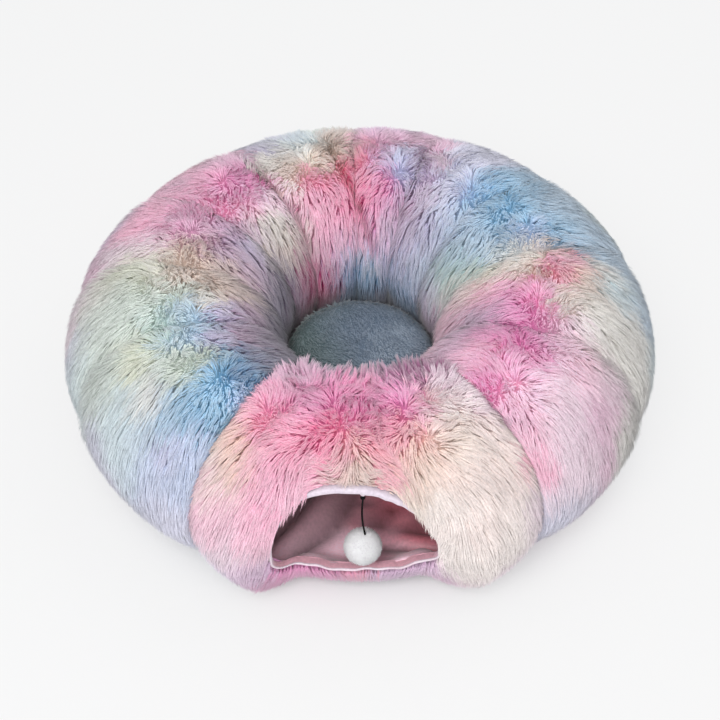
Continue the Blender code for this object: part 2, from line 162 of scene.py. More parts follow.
LOBE_SPLASHES = """
308 64 pink_grey 12, 308 36 rose 12, 310 50 petal, 310 16 shell, 310 -4 haze 24, 311 124 pink_grey,
314 136 lilac 16, 311 92 orchid 14, 313 150 petal 24, 314 108 rose, 315 70 petal, 316 84 rose,
316 46 shell 24, 316 24 shell 24, 319 98 rose, 322 60 shell 24, 322 10 pink_grey 14,
325 34 pink_grey 24, 326 86 orchid, 327 118 orchid 14, 330 62 petal 24, 331 100 orchid,
330 8 pearl 24, 332 46 shell, 320 -60 lilac 40,
339 84 pink_grey 14, 340 50 pearl 24, 341 106 orchid, 341 132 mauve 24, 342 94 orchid 14,
342 72 shell 14, 345 24 pearl 24, 347 60 pearl 24, 348 84 blush 14, 350 8 mist, 352 108 orchid,
352 40 pearl, 353 94 rose 14, 356 74 tan 14, 356 126 rose 14, 357 156 petal 24, 358 22 aqua 24,
1 46 mist, 1 86 coral 10, 6 80 rose 14, 2 100 peach 14, 3 72 peach 12, 5 112 blush 14,
4 58 pearl 14, 5 138 cream, 9 122 straw 14, 11 82 tan 12, 10 34 aqua 24, 352 -60 haze 40,
15 94 cream 10, 16 132 mint 14, 16 106 pearl 12, 16 152 sage, 15 50 aqua 24, 20 118 aqua, 21 76 sky,
21 90 periwinkle 14, 27 144 mint, 28 126 aqua, 28 24 mist 24, 30 102 sky, 30 60 aqua 24,
31 182 mauve, 34 90 sky, 35 166 haze, 36 134 aqua, 37 116 aqua, 36 -20 haze 40, 20 -60 mist 40,
43 70 sky, 43 46 aqua, 45 104 sky 14, 45 126 periwinkle, 45 158 aqua, 47 86 sky 14, 50 142 lavender,
51 96 periwinkle, 52 66 haze, 54 178 denim, 55 114 haze, 56 130 lavender, 57 162 lavender,
59 98 haze 14, 58 78 haze, 61 118 mauve 12, 63 148 lavender, 64 84 shell 12, 65 105 mauve 12,
66 136 mauve 14, 55 20 haze 30, 60 -50 lilac 40,
70 122 plum 10, 70 88 mauve 12, 73 108 lavender, 74 62 pink_grey, 75 95 periwinkle, 76 168 denim,
76 190 dusk, 77 150 lilac, 79 138 lilac, 80 124 orchid 14, 82 111 orchid 14, 83 97 lilac 12,
84 76 pink_grey, 90 74 rose 12, 90 96 coral 14, 90 112 coral, 90 127 hot, 90 141 rose, 89 156 lilac,
92 162 haze 14, 90 173 denim, 90 180 denim, 84 176 denim 12, 81 166 pearl 10, 90 190 denim,
80 30 lilac 30, 80 -30 lavender 40,
96 74 tan, 97 92 tan 12, 98 184 denim 14, 99 112 coral 14, 100 126 rose, 103 140 rose,
104 154 lilac, 105 92 cream 14, 109 70 pearl 20, 108 62 aqua 12, 106 168 lavender 14, 106 188 dusk,
107 66 mist, 109 110 coral 14, 111 124 rose, 113 90 tan 12, 113 48 haze, 116 134 rose,
116 106 blush 12, 118 80 pearl 14, 117 68 lavender 12, 118 151 pink_grey, 121 120 pink_grey 12,
114 180 magenta 16, 120 176 magenta 20, 118 162 magenta 16, 127 166 magenta 18, 128 178 magenta 16,
138 174 dusk 14, 100 172 denim 12, 105 20 sage 30, 110 -50 periwinkle 40,
125 131 pearl, 127 66 pink_grey, 126 110 shell 12, 130 92 orchid, 132 144 tan, 136 84 orchid,
136 107 petal 14, 136 125 pearl, 138 72 rose, 139 158 dusk 20, 135 172 plum 20, 140 58 pink_grey,
142 98 rose, 143 118 mauve 12, 143 136 tan, 142 180 dusk, 135 30 rose 30, 135 -40 cream 40,
149 76 pink_grey, 150 60 rose, 151 108 mauve, 153 128 lavender, 152 152 dusk, 156 96 pink_grey,
159 82 pink_grey, 160 58 rose, 162 116 mauve, 166 134 mauve, 165 158 dusk, 168 94 tan,
168 74 shell 14, 168 50 shell 14, 170 30 pink_grey, 170 121 tan 14, 155 20 lilac 30, 165 -40 mist 40,
176 110 tan, 178 84 pearl, 178 66 straw 24, 179 98 tan 14, 179 136 tan, 181 24 shell,
180 46 pearl 24, 182 158 dusk, 185 122 tan 14, 187 72 sage 24, 188 44 sage 24, 189 90 sage 14,
189 108 pearl 12, 190 20 haze, 194 70 sage 24, 196 136 mauve, 196 86 mist 14, 198 78 mint 12,
198 98 aqua 12, 199 120 lavender 12, 198 160 dusk, 196 6 mist 30, 188 -40 haze 40,
202 68 straw 14, 202 30 sage 30, 205 80 mist 14, 208 62 straw 14, 209 94 aqua, 212 106 lavender 12,
213 122 mauve, 211 72 sage 12, 212 4 haze 24, 214 34 mist 24, 216 82 sage 12, 217 54 pearl 14,
217 91 straw 14, 219 20 mist 24, 221 60 aqua 14, 220 74 straw 10, 224 102 denim, 225 84 sky,
226 66 sky, 225 50 aqua 14, 226 20 periwinkle 24, 228 112 dusk 14, 229 40 lavender 12, 231 72 sky,
232 66 denim 8, 231 4 haze 24, 233 50 periwinkle 14, 234 26 periwinkle, 235 86 periwinkle 8,
214 150 dusk 30, 228 150 dusk 30, 215 -45 haze 40
"""

# Whorls that the pile grows away from: angle round the ring, angle round the tube, size in metres
FRONT_WHORLS = ((246, 88, 0.04), (281, 98, 0.042), (287, 70, 0.03), (262, 100, 0.03))
LOBE_WHORLS = (
    ((314, 82, 0.05),),
    ((322, 80, 0.06), (350, 96, 0.03)),
    ((24, 90, 0.02),),
    ((49, 94, 0.036),),
    ((77, 101, 0.032),),
    ((109, 91, 0.034),),
    ((134, 82, 0.03),),
    ((158, 92, 0.016),),
    ((196, 104, 0.022),),
    ((226, 92, 0.026),),
)

# Where hands combed the front's pile sideways: angle round the ring and the tube, size, and which way
FRONT_COMBED = (
    (252, 78, 0.026, (-1.0, 0.1, -0.1)),
    (258, 92, 0.024, (-1.0, 0.4, 0.2)),
    (272, 84, 0.022, (0.9, -0.3, -0.2)),
    (279, 84, 0.02, (-0.9, -0.1, -0.1)),
    (290, 58, 0.05, (0.7, -0.2, -0.7)),
    (263, 60, 0.024, (-1.0, 0.1, 0.15)),
    (273, 61, 0.024, (1.0, -0.1, -0.15)),
    (285, 12, 0.022, (-0.9, 0.0, -0.5)),
)

# Where the pile parts over the crest in a dark line, a groove with painted shade along it: angles round
# the tube, and round the ring there
PARTINGS = (
    ((68, 101), (95, 98), (116, 93.5), (140, 85.5), (154, 80)),
    ((88, 125), (102, 123.5), (121, 121.5), (147, 121)),
)


def linear(*parts):
    """A colour of 0 to 255, as a screen shows it, in linear light."""
    return [part / 3294.6 if part < 11 else ((part / 255 + 0.055) / 1.055) ** 2.4 for part in parts]


def colour(name, description, *parts):
    return FloatVectorProperty(
        name=name, description=description, subtype="COLOR", min=0.0, max=1.0, default=linear(*parts)
    )


def dye(name, *parts):
    return colour(name, f"{name} dye of the long pile", *parts)


def length(name, description, default):
    return FloatProperty(
        name=name, description=description, default=default, min=0.0, subtype="DISTANCE", unit="LENGTH"
    )


class TunnelDyes(PropertyGroup):
    rose: dye("Rose", 232, 160, 187)
    petal: dye("Petal", 238, 184, 204)
    orchid: dye("Orchid", 214, 138, 180)
    magenta: dye("Magenta", 180, 10, 92)
    hot: dye("Hot", 224, 105, 152)
    coral: dye("Coral", 224, 138, 162)
    pink_grey: dye("Pink grey", 207, 162, 186)
    shell: dye("Shell", 222, 198, 210)
    blush: dye("Blush", 232, 212, 206)
    pearl: dye("Pearl", 208, 204, 197)
    sage: dye("Sage", 196, 205, 196)
    tan: dye("Tan", 198, 179, 168)
    mist: dye("Mist", 193, 209, 213)
    haze: dye("Haze", 199, 198, 217)
    lavender: dye("Lavender", 178, 172, 199)
    mauve: dye("Mauve", 176, 144, 169)
    sky: dye("Sky", 142, 180, 206)
    straw: dye("Straw", 204, 207, 186)
    white: dye("White", 236, 224, 218)
    cream: dye("Cream", 227, 211, 198)
    periwinkle: dye("Periwinkle", 176, 188, 214)
    lilac: dye("Lilac", 207, 172, 201)
    denim: dye("Denim", 90, 138, 174)
    peach: dye("Peach", 226, 190, 177)
    mint: dye("Mint", 160, 191, 183)
    aqua: dye("Aqua", 162, 184, 203)
    # Plum is a dye darkened into painted shade, and dusk is painted shade alone, where the pile turns
    # into the hole
    plum: dye("Plum", 140, 78, 116)
    dusk: dye("Dusk", 112, 104, 124)


class PileSizes(PropertyGroup):
    tuft_length: length("Tuft length", "Length of a lock of the long pile", 0.032)
    tuft_width: length("Tuft width", "Width of a lock of the long pile", 0.0019)
    root_depth: length("Root depth", "Depth of the backing under the pile's surface", 0.0108)
    tufts_per_metre: IntProperty(
        name="Tufts along a metre", description="How closely the locks stand", default=485, min=50
    )
    clump_size: IntProperty(
        name="Strand", description="Locks that are drawn together in a strand", default=13, min=1
    )
    mat_tuft_length: length("Mat tuft length", "Length of the mat's short pile", 0.009)
    mat_tuft_width: length("Mat tuft width", "Width of a lock of the mat's pile", 0.0017)
    ball_tuft_length: length("Ball tuft length", "Length of the ball's pile", 0.005)


class TrimColours(PropertyGroup):
    mat_blue: colour("Mat blue", "Main colour of the mat", 116, 132, 150)
    mat_green: colour("Mat green", "Greener parts of the mat", 108, 126, 126)
    # Painted highlight, silver, where the mat's pile catches the light
    mat_highlight: colour("Mat silver", "Paler parts of the mat", 168, 182, 198)
    ball_white: colour("Ball white", "Plush of the ball", 250, 249, 251)
    lining_mauve: colour("Lining mauve", "Greyer parts of the satin lining", 204, 166, 176)
    lining_pink: colour("Lining pink", "Redder parts of the satin lining", 210, 122, 134)
    lining_pale: colour("Lining pale", "Paler parts of the satin lining", 240, 202, 214)
    binding_white: colour("Binding white", "Satin piping round the entrance", 238, 228, 236)
    turned_white: colour("Turned white", "Satin turned in over the top of the entrance", 226, 214, 224)
    satin_pink: colour("Satin pink", "Pinker parts of the entrance's satin", 220, 190, 202)
    sill_pink: colour("Sill pink", "Satin turned in over the sill", 236, 180, 192)
    cord_black: colour("Cord black", "Elastic of the toy", 8, 7, 9)
    tape_pink: colour("Tape pink", "Tapes over the hoops", 226, 208, 216)
    base_grey: colour("Base grey", "Cloth under the mat", 168, 170, 178)
    fibre_white: colour("Fibre white", "Filling of the mat", 238, 238, 236)
    steel_grey: colour("Steel grey", "Wire of the hoops", 150, 152, 156)


class PlushTunnel(PropertyGroup):
    dyes: PointerProperty(type=TunnelDyes)
    pile: PointerProperty(type=PileSizes)
    trim: PointerProperty(type=TrimColours)


# Shapes of the tube, on arrays


def smooth_step(low, high, value):
    share = np.clip((value - low) / (high - low), 0.0, 1.0)
    return share * share * (3 - 2 * share)


def plateau(value, low, high, last, end):
    """0 up to low, 1 from high to last and 0 again from end."""
    return smooth_step(low, high, value) * (1 - smooth_step(last, end, value))


def wrapped(turn):
    """An angle, or an array of them, between minus and plus half a turn."""
    return (turn + math.pi) % math.tau - math.pi


def blended(first, second, share):
    """The first colour where share is 0, and the second one where it is 1."""
    return np.array(first) * (1 - share) + np.array(second) * share


def front_reach(share):
    """How far the front lobe stands out past, or is dented in from, a plain lobe."""
    share = np.abs(share)
    corner = FRONT_CORNER_SWELL * (1 - ((share - CORNER_SHARE) / (1 - CORNER_SHARE)) ** 2)
    rise = smooth_step(DENT_END_SHARE, CORNER_SHARE, share)
    return np.where(share > CORNER_SHARE, corner, rise * (FRONT_DENT + FRONT_CORNER_SWELL) - FRONT_DENT)


def tube_points(angle, phi, depth, share, front=False, swell_share=1.0):
    """Points depth below the pile's surface. phi runs from the outer side over the top."""
    slack = FRONT_SLACK_SHARE if front else LOBE_SLACK_SHARE
    swell = np.sqrt(np.maximum(1 - np.abs(share) ** (1 / slack), 0)) * swell_share
    across, up = np.cos(phi), np.sin(phi)
    half_width = SEAM_HALF_WIDTH + LOBE_SWELL_SIDE * swell - depth
    lobe_height = np.where(up > 0, LOBE_SWELL_TOP, LOBE_SWELL_BOTTOM)
    half_height = SEAM_HALF_HEIGHT + lobe_height * swell - depth
    if front:
        half_width = half_width + np.where(across > 0, front_reach(share), 0.0)
        upper = smooth_step(DENT_END_SHARE, CORNER_SHARE, np.abs(share))
        fade = np.where(up > 0, upper, smooth_step(CORNER_SHARE, 1.0, np.abs(share)))
        squared = np.abs(across) ** (1 - FRONT_SQUARE_SHARE * (1 - fade))
        across = np.where(across > 0, squared, across)
    slumped = -np.abs(across) ** (1 - HOLE_SLUMP_SHARE * swell)
    across = np.where((across < 0) & (up < 0), slumped, across)
    radius = RING_RADIUS + half_width * across
    height = np.maximum(TUBE_HEIGHT + half_height * up, depth)
    return np.stack([radius * np.cos(angle), radius * np.sin(angle), height], axis=-1)


def lobes():
    """Start and end angle of each lobe, in radians, and whether it is the front one."""
    turns = [math.radians(angle) for angle in SEAM_ANGLES_DEG]
    for start, end in zip(turns, turns[1:]):
        yield start, end, start < math.radians(FRONT_ANGLE_DEG) < end


def lobe_surface(start, end, front, depth):
    """The lobe's surface as a function of its share from seam to seam and the tube's angle."""
    middle = math.radians(FRONT_ANGLE_DEG) if front else (start + end) / 2

    def surface(share, phi):
        angle = middle + share * np.where(share > 0, end - middle, middle - start)
        return tube_points(angle, phi, depth, share, front)

    return surface


def entrance_measure(x, z, grow=0.0):
    """Below 1 inside the entrance, 1 on its edge and above 1 outside it."""
    rise = ENTRANCE_TOP - ENTRANCE_MID_HEIGHT + grow
    drop = ENTRANCE_MID_HEIGHT - ENTRANCE_SILL_HEIGHT + grow
    across = np.abs(x - ENTRANCE_ASIDE) / (ENTRANCE_HALF_WIDTH + grow)
    up = (z - ENTRANCE_MID_HEIGHT) / np.where(z > ENTRANCE_MID_HEIGHT, rise, drop)
    arch = np.where(x < ENTRANCE_ASIDE, ARCH_POWER_LEFT, ARCH_POWER_RIGHT)
    power = np.where(z > ENTRANCE_MID_HEIGHT, arch, 2 / SILL_SQUARE_SHARE)
    return (across**power + np.abs(up) ** power) ** (1 / power)


def entrance_outline(grow, count):
    """Points (x, z) round the entrance, grown outwards by a distance."""
    turn = np.linspace(0, math.tau, count, endpoint=False)
    across, up = np.cos(turn), np.sin(turn)
    sill = up < 0
    arch = 2 / np.where(across < 0, ARCH_POWER_LEFT, ARCH_POWER_RIGHT)
    bend = np.where(sill, SILL_SQUARE_SHARE, arch)
    across = np.sign(across) * np.abs(across) ** bend
    up = np.sign(up) * np.abs(up) ** bend
    end = np.where(sill, ENTRANCE_SILL_HEIGHT, ENTRANCE_TOP)
    height = np.abs(end - ENTRANCE_MID_HEIGHT) + grow
    return ENTRANCE_ASIDE + (ENTRANCE_HALF_WIDTH + grow) * across, ENTRANCE_MID_HEIGHT + height * up


def ripple(points, size, seed, waves=7):
    """Smooth noise of about -1 to 1 whose bumps are about one size apart."""
    draw = np.random.default_rng(seed)
    ways = draw.normal(size=(waves, 3))
    ways /= np.linalg.norm(ways, axis=1, keepdims=True)
    rates = math.tau / size * draw.uniform(0.55, 1.1, waves)
    turns = draw.uniform(0, math.tau, waves)
    return np.sin(points @ (ways * rates[:, None]).T + turns).mean(-1) * 1.7


# Meshes


def places_of(bm):
    return np.array([vert.co[:] for vert in bm.verts])


def finished(shape, name, material, node):
    """An object from a mesh, a bmesh or a curve, standing for a CAD node and on its body."""
    if isinstance(shape, bmesh.types.BMesh):
        bm, shape = shape, bpy.data.meshes.new(name)
        bm.to_mesh(shape)
        bm.free()
        shape.shade_smooth()
    obj = bpy.data.objects.new(name, shape)
    bpy.context.scene.collection.objects.link(obj)
    shape.materials.append(bpy.data.materials[material])
    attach(obj, frame["nodes"][node]["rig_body"])
    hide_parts(node)
    return obj


def lay_uv(bm, flat):
    """Gives a mesh its cloth UV, from a function of a vertex's place."""
    layer = bm.loops.layers.uv.new("cloth")
    for face in bm.faces:
        for loop in face.loops:
            loop[layer].uv = flat(loop.vert.co)


def sheet_over(surface, u, v, closed_v=True, closed_u=False):
    """A grid of faces laid on a surface, with its cloth UV in metres."""
    bm = bmesh.new()
    bmesh.ops.create_grid(bm, x_segments=len(u) - 1, y_segments=len(v) - 1, size=1.0)
    bm.verts.ensure_lookup_table()
    flat = places_of(bm)
    i = np.rint((flat[:, 0] + 1) / 2 * (len(u) - 1)).astype(int)
    j = np.rint((flat[:, 1] + 1) / 2 * (len(v) - 1)).astype(int)
    points = surface(u[i], v[j])
    grid = np.zeros((len(u), len(v), 3))
    grid[i, j] = points
    along = np.linalg.norm(np.diff(grid, axis=0), axis=2).mean(1)
    round_it = np.linalg.norm(np.diff(grid, axis=1), axis=2).mean(0)
    places = [np.concatenate([[0], np.cumsum(steps)]) for steps in (along, round_it)]
    layer = bm.loops.layers.uv.new("cloth")
    for vert, point, a, b in zip(bm.verts, points, i, j):
        for loop in vert.link_loops:
            loop[layer].uv = places[0][a], places[1][b]
        vert.co = point
    if closed_v or closed_u:
        bmesh.ops.remove_doubles(bm, verts=bm.verts, dist=1e-6)
    if closed_u:
        bmesh.ops.recalc_face_normals(bm, faces=bm.faces)
    return bm


def open_entrance(bm, grow):
    """Takes the entrance out of a sheet that was laid on the front of the tube."""

    def measure(point):
        return float(entrance_measure(point.x, point.z, grow)) if point.y < -RING_RADIUS else 9.0

    inside = [face for face in bm.faces if all(measure(vert.co) < 1 for vert in face.verts)]
    bmesh.ops.delete(bm, geom=inside, context="FACES")
    for vert in bm.verts:
        size = measure(vert.co)
        if size < 1:
            vert.co.x = ENTRANCE_ASIDE + (vert.co.x - ENTRANCE_ASIDE) / size
            vert.co.z = ENTRANCE_MID_HEIGHT + (vert.co.z - ENTRANCE_MID_HEIGHT) / size


def coloured(mesh, name, colours):
    """Stores a colour for each vertex, which a material reads by its name."""
    colours = np.concatenate([colours, np.ones((len(colours), 1))], axis=1).astype(np.float32)
    mesh.attributes.new(name, "FLOAT_COLOR", "POINT").data.foreach_set("color", colours.ravel())


def crowded_shares(count):
    """Shares from seam to seam that crowd towards the seams, where a lobe curves most."""
    even = np.linspace(-1, 1, count)
    return np.sign(even) * (1 - (1 - np.abs(even)) ** 2)


def thickened(obj, thickness, offset=-1.0):
    wall = obj.modifiers.new("wall", "SOLIDIFY")
    wall.thickness = thickness
    wall.offset = offset


# Pile

# How a lock bends, strays from its neighbours and is flattened
BEND_SHARE = 0.34
STRAY = 0.08
LEAN_LIMITS = (0.05, 1.45)
ROOT_LEAN_SHARE = 0.6
TIP_LEAN_SHARE = 1.22
TIP_LEAN_MOST = 1.5
MIDDLE_PULL_SHARE = 0.45
FLATNESS = 0.62
ROUND_SHADING = 0.45
STRAND_CHOICES = 6

# Where locks and their backing lie on the baking UV, and a lock in its own cell
LOCKS_UV_SIZE = (1.0, 0.88)
BACKING_UV_SIZE = (0.98, 0.09)
BACKING_UV_PLACE = (0.01, 0.9)
LOCK_UV_MARGIN = 0.06
LOCK_UV_SHARE = 0.88


def lock_template():
    """One lock: a three-sided spindle. Its vertices, their level from root to tip, faces and UV."""
    bm = bmesh.new()
    bmesh.ops.create_cone(bm, cap_ends=False, segments=3, radius1=1.0, radius2=0.0, depth=1.0)
    bmesh.ops.translate(bm, vec=(0, 0, 0.5), verts=bm.verts)
    bmesh.ops.mirror(bm, geom=bm.verts[:] + bm.edges[:] + bm.faces[:], axis="Z", merge_dist=1e-4)
    bmesh.ops.remove_doubles(bm, verts=bm.verts, dist=1e-4)
    bmesh.ops.recalc_face_normals(bm, faces=bm.faces)
    bm.verts.index_update()
    places = places_of(bm)
    level = np.rint(places[:, 2]).astype(int) + 1
    faces = np.array([[vert.index for vert in face.verts] for face in bm.faces])
    bm.free()
    side = np.rint(np.arctan2(places[:, 1], places[:, 0]) / math.tau * 3 + 0.25).astype(int) % 3
    uv = np.zeros((len(faces), 3, 2))
    for f, face in enumerate(faces):
        ring = [v for v in face if level[v] == 1]
        low = min(side[v] for v in ring)
        wraps = {side[v] for v in ring} == {0, 2}
        for c, v in enumerate(face):
            if level[v] == 1:
                across = 3 if wraps and side[v] == 0 else side[v]
            else:
                across = 2.5 if wraps else low + 0.5
            share = LOCK_UV_SHARE * np.array([across / 3, level[v] / 2])
            uv[f, c] = LOCK_UV_MARGIN + share
    return places[:, :2], level, faces, uv


LOCK = lock_template()


def spread(surface, u, v, density, draw):
    """Places over a surface, a few at random in each cell of a grid."""
    grid = surface(*np.meshgrid(u, v, indexing="ij"))
    area = np.linalg.norm(
        np.cross(grid[1:, :-1] - grid[:-1, :-1], grid[:-1, 1:] - grid[:-1, :-1]), axis=2
    )
    counts = np.floor(area * density(grid[:-1, :-1]) + draw.random(area.shape)).astype(int)
    i, j = (np.repeat(axis.ravel(), counts.ravel()) for axis in np.indices(area.shape))
    across, up = draw.random((2, len(i)))
    return u[i] + (u[i + 1] - u[i]) * across, v[j] + (v[j + 1] - v[j]) * up


def unit(vectors):
    return vectors / np.maximum(np.linalg.norm(vectors, axis=-1, keepdims=True), 1e-9)


def part_along(vectors, ways):
    """The part of each vector that lies along a unit way."""
    return ways * np.sum(vectors * ways, axis=1)[:, None]


def frames(surface, u, v, centre, step=2e-3):
    """Points, outward normals and the two directions along a surface."""
    points = surface(u, v)
    along = unit(surface(u + step, v) - surface(u - step, v))
    round_it = unit(surface(u, v + step) - surface(u, v - step))
    normals = unit(np.cross(along, round_it))
    normals *= np.sign(np.sum(normals * (points - centre(points)), axis=1))[:, None]
    return points, normals, along, round_it


def strands(points, flow, draw, size, stretch=0.94):
    """For each lock, the one that leads its strand. Strands are long in the way the pile lies."""
    leaders = np.flatnonzero(draw.random(len(points)) * size < 1)
    tree = KDTree(len(leaders))
    for k in leaders:
        tree.insert(points[k], int(k))
    tree.balance()
    near = [[found[1] for found in tree.find_n(point, STRAND_CHOICES)] for point in points]
    near = np.array(near)
    apart = points[:, None] - points[near]
    ahead = np.sum(apart * flow[:, None], axis=2)
    cost = np.sum(apart**2, axis=2) - np.reshape(stretch, (-1, 1)) * ahead**2
    return near[np.arange(len(points)), np.argmin(cost, axis=1)]


def grown(points, normals, flow, lengths, lean, draw, led_by, pull, rough, droop=0.0, gather=0.0):
    """Root, middle and tip of each lock, with the locks of a strand drawn in towards its line."""
    together, alone = draw.normal(size=(2, len(points), 4))
    rough = np.broadcast_to(rough, len(points))[:, None]
    stray = together[led_by] * rough[led_by] + alone * STRAY
    way = unit(flow + stray[:, :3])
    lean = np.clip(lean + stray[:, 3], *LEAN_LIMITS)[:, None]
    first, second = lean * ROOT_LEAN_SHARE, np.minimum(lean * TIP_LEAN_SHARE, TIP_LEAN_MOST)
    lengths = lengths[:, None]
    middle = points + lengths * BEND_SHARE * (np.cos(first) * normals + np.sin(first) * way)
    tip = middle + lengths * (1 - BEND_SHARE) * (np.cos(second) * normals + np.sin(second) * way)
    tip[:, 2] -= droop * lengths[:, 0] * (1 - np.abs(normals[:, 2]))
    line = unit(way[led_by] - part_along(way[led_by], normals))
    share = np.broadcast_to(pull, len(points))[:, None] * draw.uniform(0.6, 1.15, (len(points), 1))
    for part, much in ((middle, MIDDLE_PULL_SHARE), (tip, 1.0)):
        aside = part - points[led_by]
        aside -= line * ((1 - gather) * np.sum(aside * line, axis=1))[:, None]
        aside -= part_along(aside, normals)
        part -= much * share * aside
    return points, middle, tip


def lock_arrays(root, middle, tip, widths, normals):
    """Vertices and faces of every lock."""
    ring, level, faces, _ = LOCK
    along = unit(tip - root)
    side = unit(np.cross(along, normals))
    lift = np.cross(along, side)
    spine = np.stack([root, middle, tip], axis=1)
    verts = spine[:, level]
    offset = ring[None, :, :1] * side[:, None] + FLATNESS * ring[None, :, 1:] * lift[:, None]
    bulge = (level == 1)[None, :, None]
    verts = verts + offset * (widths / 2)[:, None, None] * bulge
    count = len(ring)
    all_faces = faces[None] + (np.arange(len(root)) * count)[:, None, None]
    soft = ROUND_SHADING * unit(offset) * bulge + (1 - ROUND_SHADING) * normals[:, None]
    return verts.reshape(-1, 3), all_faces.reshape(-1, 3), unit(soft).reshape(-1, 3)


def plush_mesh(name, locks, widths, normals, dyes, skin, skin_dyes):
    """One mesh of locks over their backing, with its dye, its share along each lock and a baking UV."""
    ring, level, _, lock_uv = LOCK
    verts, faces, shading = lock_arrays(*locks, widths, normals)
    count = len(widths)
    cells = math.ceil(math.sqrt(count))
    cell = np.stack([np.arange(count) % cells, np.arange(count) // cells], axis=1)
    uv = (cell[:, None, None] + lock_uv[None]) / cells * LOCKS_UV_SIZE
    bmesh.ops.triangulate(skin, faces=skin.faces)
    skin.verts.index_update()
    skin.normal_update()
    skin_verts = places_of(skin)
    skin_faces = np.array([[vert.index for vert in face.verts] for face in skin.faces])
    layer = skin.loops.layers.uv["cloth"]
    skin_uv = np.array([loop[layer].uv[:] for face in skin.faces for loop in face.loops])
    skin_uv -= skin_uv.min(0)
    skin_uv = skin_uv / skin_uv.max(0) * BACKING_UV_SIZE + BACKING_UV_PLACE
    shading = np.concatenate([shading, [vert.normal[:] for vert in skin.verts]])
    skin.free()
    faces = np.concatenate([faces, skin_faces + len(verts)])
    verts = np.concatenate([verts, skin_verts])
    uv = np.concatenate([uv.reshape(-1, 2), skin_uv])
    along = np.concatenate([np.tile(level / 2, count), np.zeros(len(skin_verts))])
    mesh = bpy.data.meshes.new(name)
    mesh.vertices.add(len(verts))
    mesh.vertices.foreach_set("co", verts.astype(np.float32).ravel())
    mesh.loops.add(faces.size)
    mesh.loops.foreach_set("vertex_index", faces.astype(np.int32).ravel())
    mesh.polygons.add(len(faces))
    mesh.polygons.foreach_set("loop_start", np.arange(0, faces.size, 3, dtype=np.int32))
    mesh.update(calc_edges=True)
    mesh.shade_smooth()
    mesh.normals_split_custom_set_from_vertices(shading)
    coloured(mesh, "dye", np.concatenate([np.repeat(dyes, len(ring), axis=0), skin_dyes(skin_verts)]))
    mesh.attributes.new("along", "FLOAT", "POINT").data.foreach_set("value", along.astype(np.float32))
    mesh.uv_layers.new(name="OFBake").data.foreach_set("uv", uv.astype(np.float32).ravel())
    return mesh


# Material graphs


def plug(tree, node, inputs):
    """Sets a node's inputs to values, or links them from sockets."""
    for socket, value in inputs.items():
        if isinstance(value, bpy.types.NodeSocket):
            tree.links.new(value, node.inputs[socket])
        else:
            node.inputs[socket].default_value = value


def add(tree, kind, inputs=None, **settings):
    """A shader node. Its inputs are values, or sockets that it is linked from."""
    node = tree.nodes.new(kind)
    for name, value in settings.items():
        setattr(node, name, value)
    plug(tree, node, inputs or {})
    return node


def group(name, inputs, outputs):
    """An empty node group with its sockets. Its tree and its input and output nodes."""
    tree = bpy.data.node_groups.new(name, "ShaderNodeTree")
    for socket, kind, default in inputs:
        made = tree.interface.new_socket(socket, in_out="INPUT", socket_type=kind)
        made.default_value = default
    for socket, kind in outputs:
        tree.interface.new_socket(socket, in_out="OUTPUT", socket_type=kind)
    return tree, tree.nodes.new("NodeGroupInput"), tree.nodes.new("NodeGroupOutput")


def mixed(tree, factor, first, second, blend="MIX"):
    inputs = {0: factor, 6: first, 7: second}
    return add(tree, "ShaderNodeMix", inputs, data_type="RGBA", blend_type=blend).outputs[2]


def math_node(tree, operation, *values):
    return add(tree, "ShaderNodeMath", dict(enumerate(values)), operation=operation).outputs[0]


def ramped(tree, value, low, high, start=0.0, end=1.0):
    inputs = {"Value": value, "From Min": start, "From Max": end, "To Min": low, "To Max": high}
    return add(tree, "ShaderNodeMapRange", inputs, interpolation_type="SMOOTHSTEP").outputs["Result"]


def noise(tree, place, scale, detail, **more):
    inputs = {"Vector": place, "Scale": scale, "Detail": detail, **more}
    return add(tree, "ShaderNodeTexNoise", inputs).outputs["Fac"]


def object_place(tree):
    return add(tree, "ShaderNodeTexCoord").outputs["Object"]


def bumped(tree, height, strength, distance):
    inputs = {"Height": height, "Strength": strength, "Distance": distance}
    return add(tree, "ShaderNodeBump", inputs).outputs["Normal"]


COLOUR, VALUE, VECTOR = "NodeSocketColor", "NodeSocketFloat", "NodeSocketVector"


def pile_group():
    """Fibres of a pile: deep and dark at the roots as painted shade, pale at the tips as a painted
    highlight, with fine streaks.
    """
    tree, given, out = group(
        "pile_fibres",
        [
            ("Dye", COLOUR, (0.8, 0.8, 0.8, 1)),
            ("Along", VALUE, 0.5),
            ("Root Value", VALUE, 0.8),
            ("Tip White", VALUE, 0.3),
            ("Root Saturation", VALUE, 1.3),
        ],
        [("Colour", COLOUR), ("Streak", VALUE)],
    )
    place, along = object_place(tree), given.outputs["Along"]
    streak = noise(tree, place, 420.0, 3.0)
    blotch = noise(tree, place, 38.0, 2.0)
    # Painted shade: the roots are deeper in colour and, with a root value under 1, darker; over 1 they
    # are painted lighter
    saturation = ramped(tree, along, given.outputs["Root Saturation"], 0.98, 0.0, 0.8)
    value = ramped(tree, along, given.outputs["Root Value"], 1.12, 0.0, 0.62)
    value = math_node(tree, "MULTIPLY", value, ramped(tree, streak, 0.88, 1.1, 0.3, 0.7))
    value = math_node(tree, "MULTIPLY", value, ramped(tree, blotch, 0.94, 1.05, 0.3, 0.7))
    toned = {"Color": given.outputs["Dye"], "Saturation": saturation, "Value": value}
    toned = add(tree, "ShaderNodeHueSaturation", toned).outputs["Color"]
    # Painted highlight: the tips pale towards white by Tip White
    tip = ramped(tree, along, 0.0, 1.0, 0.45, 1.0)
    white = math_node(tree, "MULTIPLY", tip, given.outputs["Tip White"])
    plug(tree, out, {"Colour": mixed(tree, white, toned, (0.93, 0.92, 0.93, 1)), "Streak": streak})


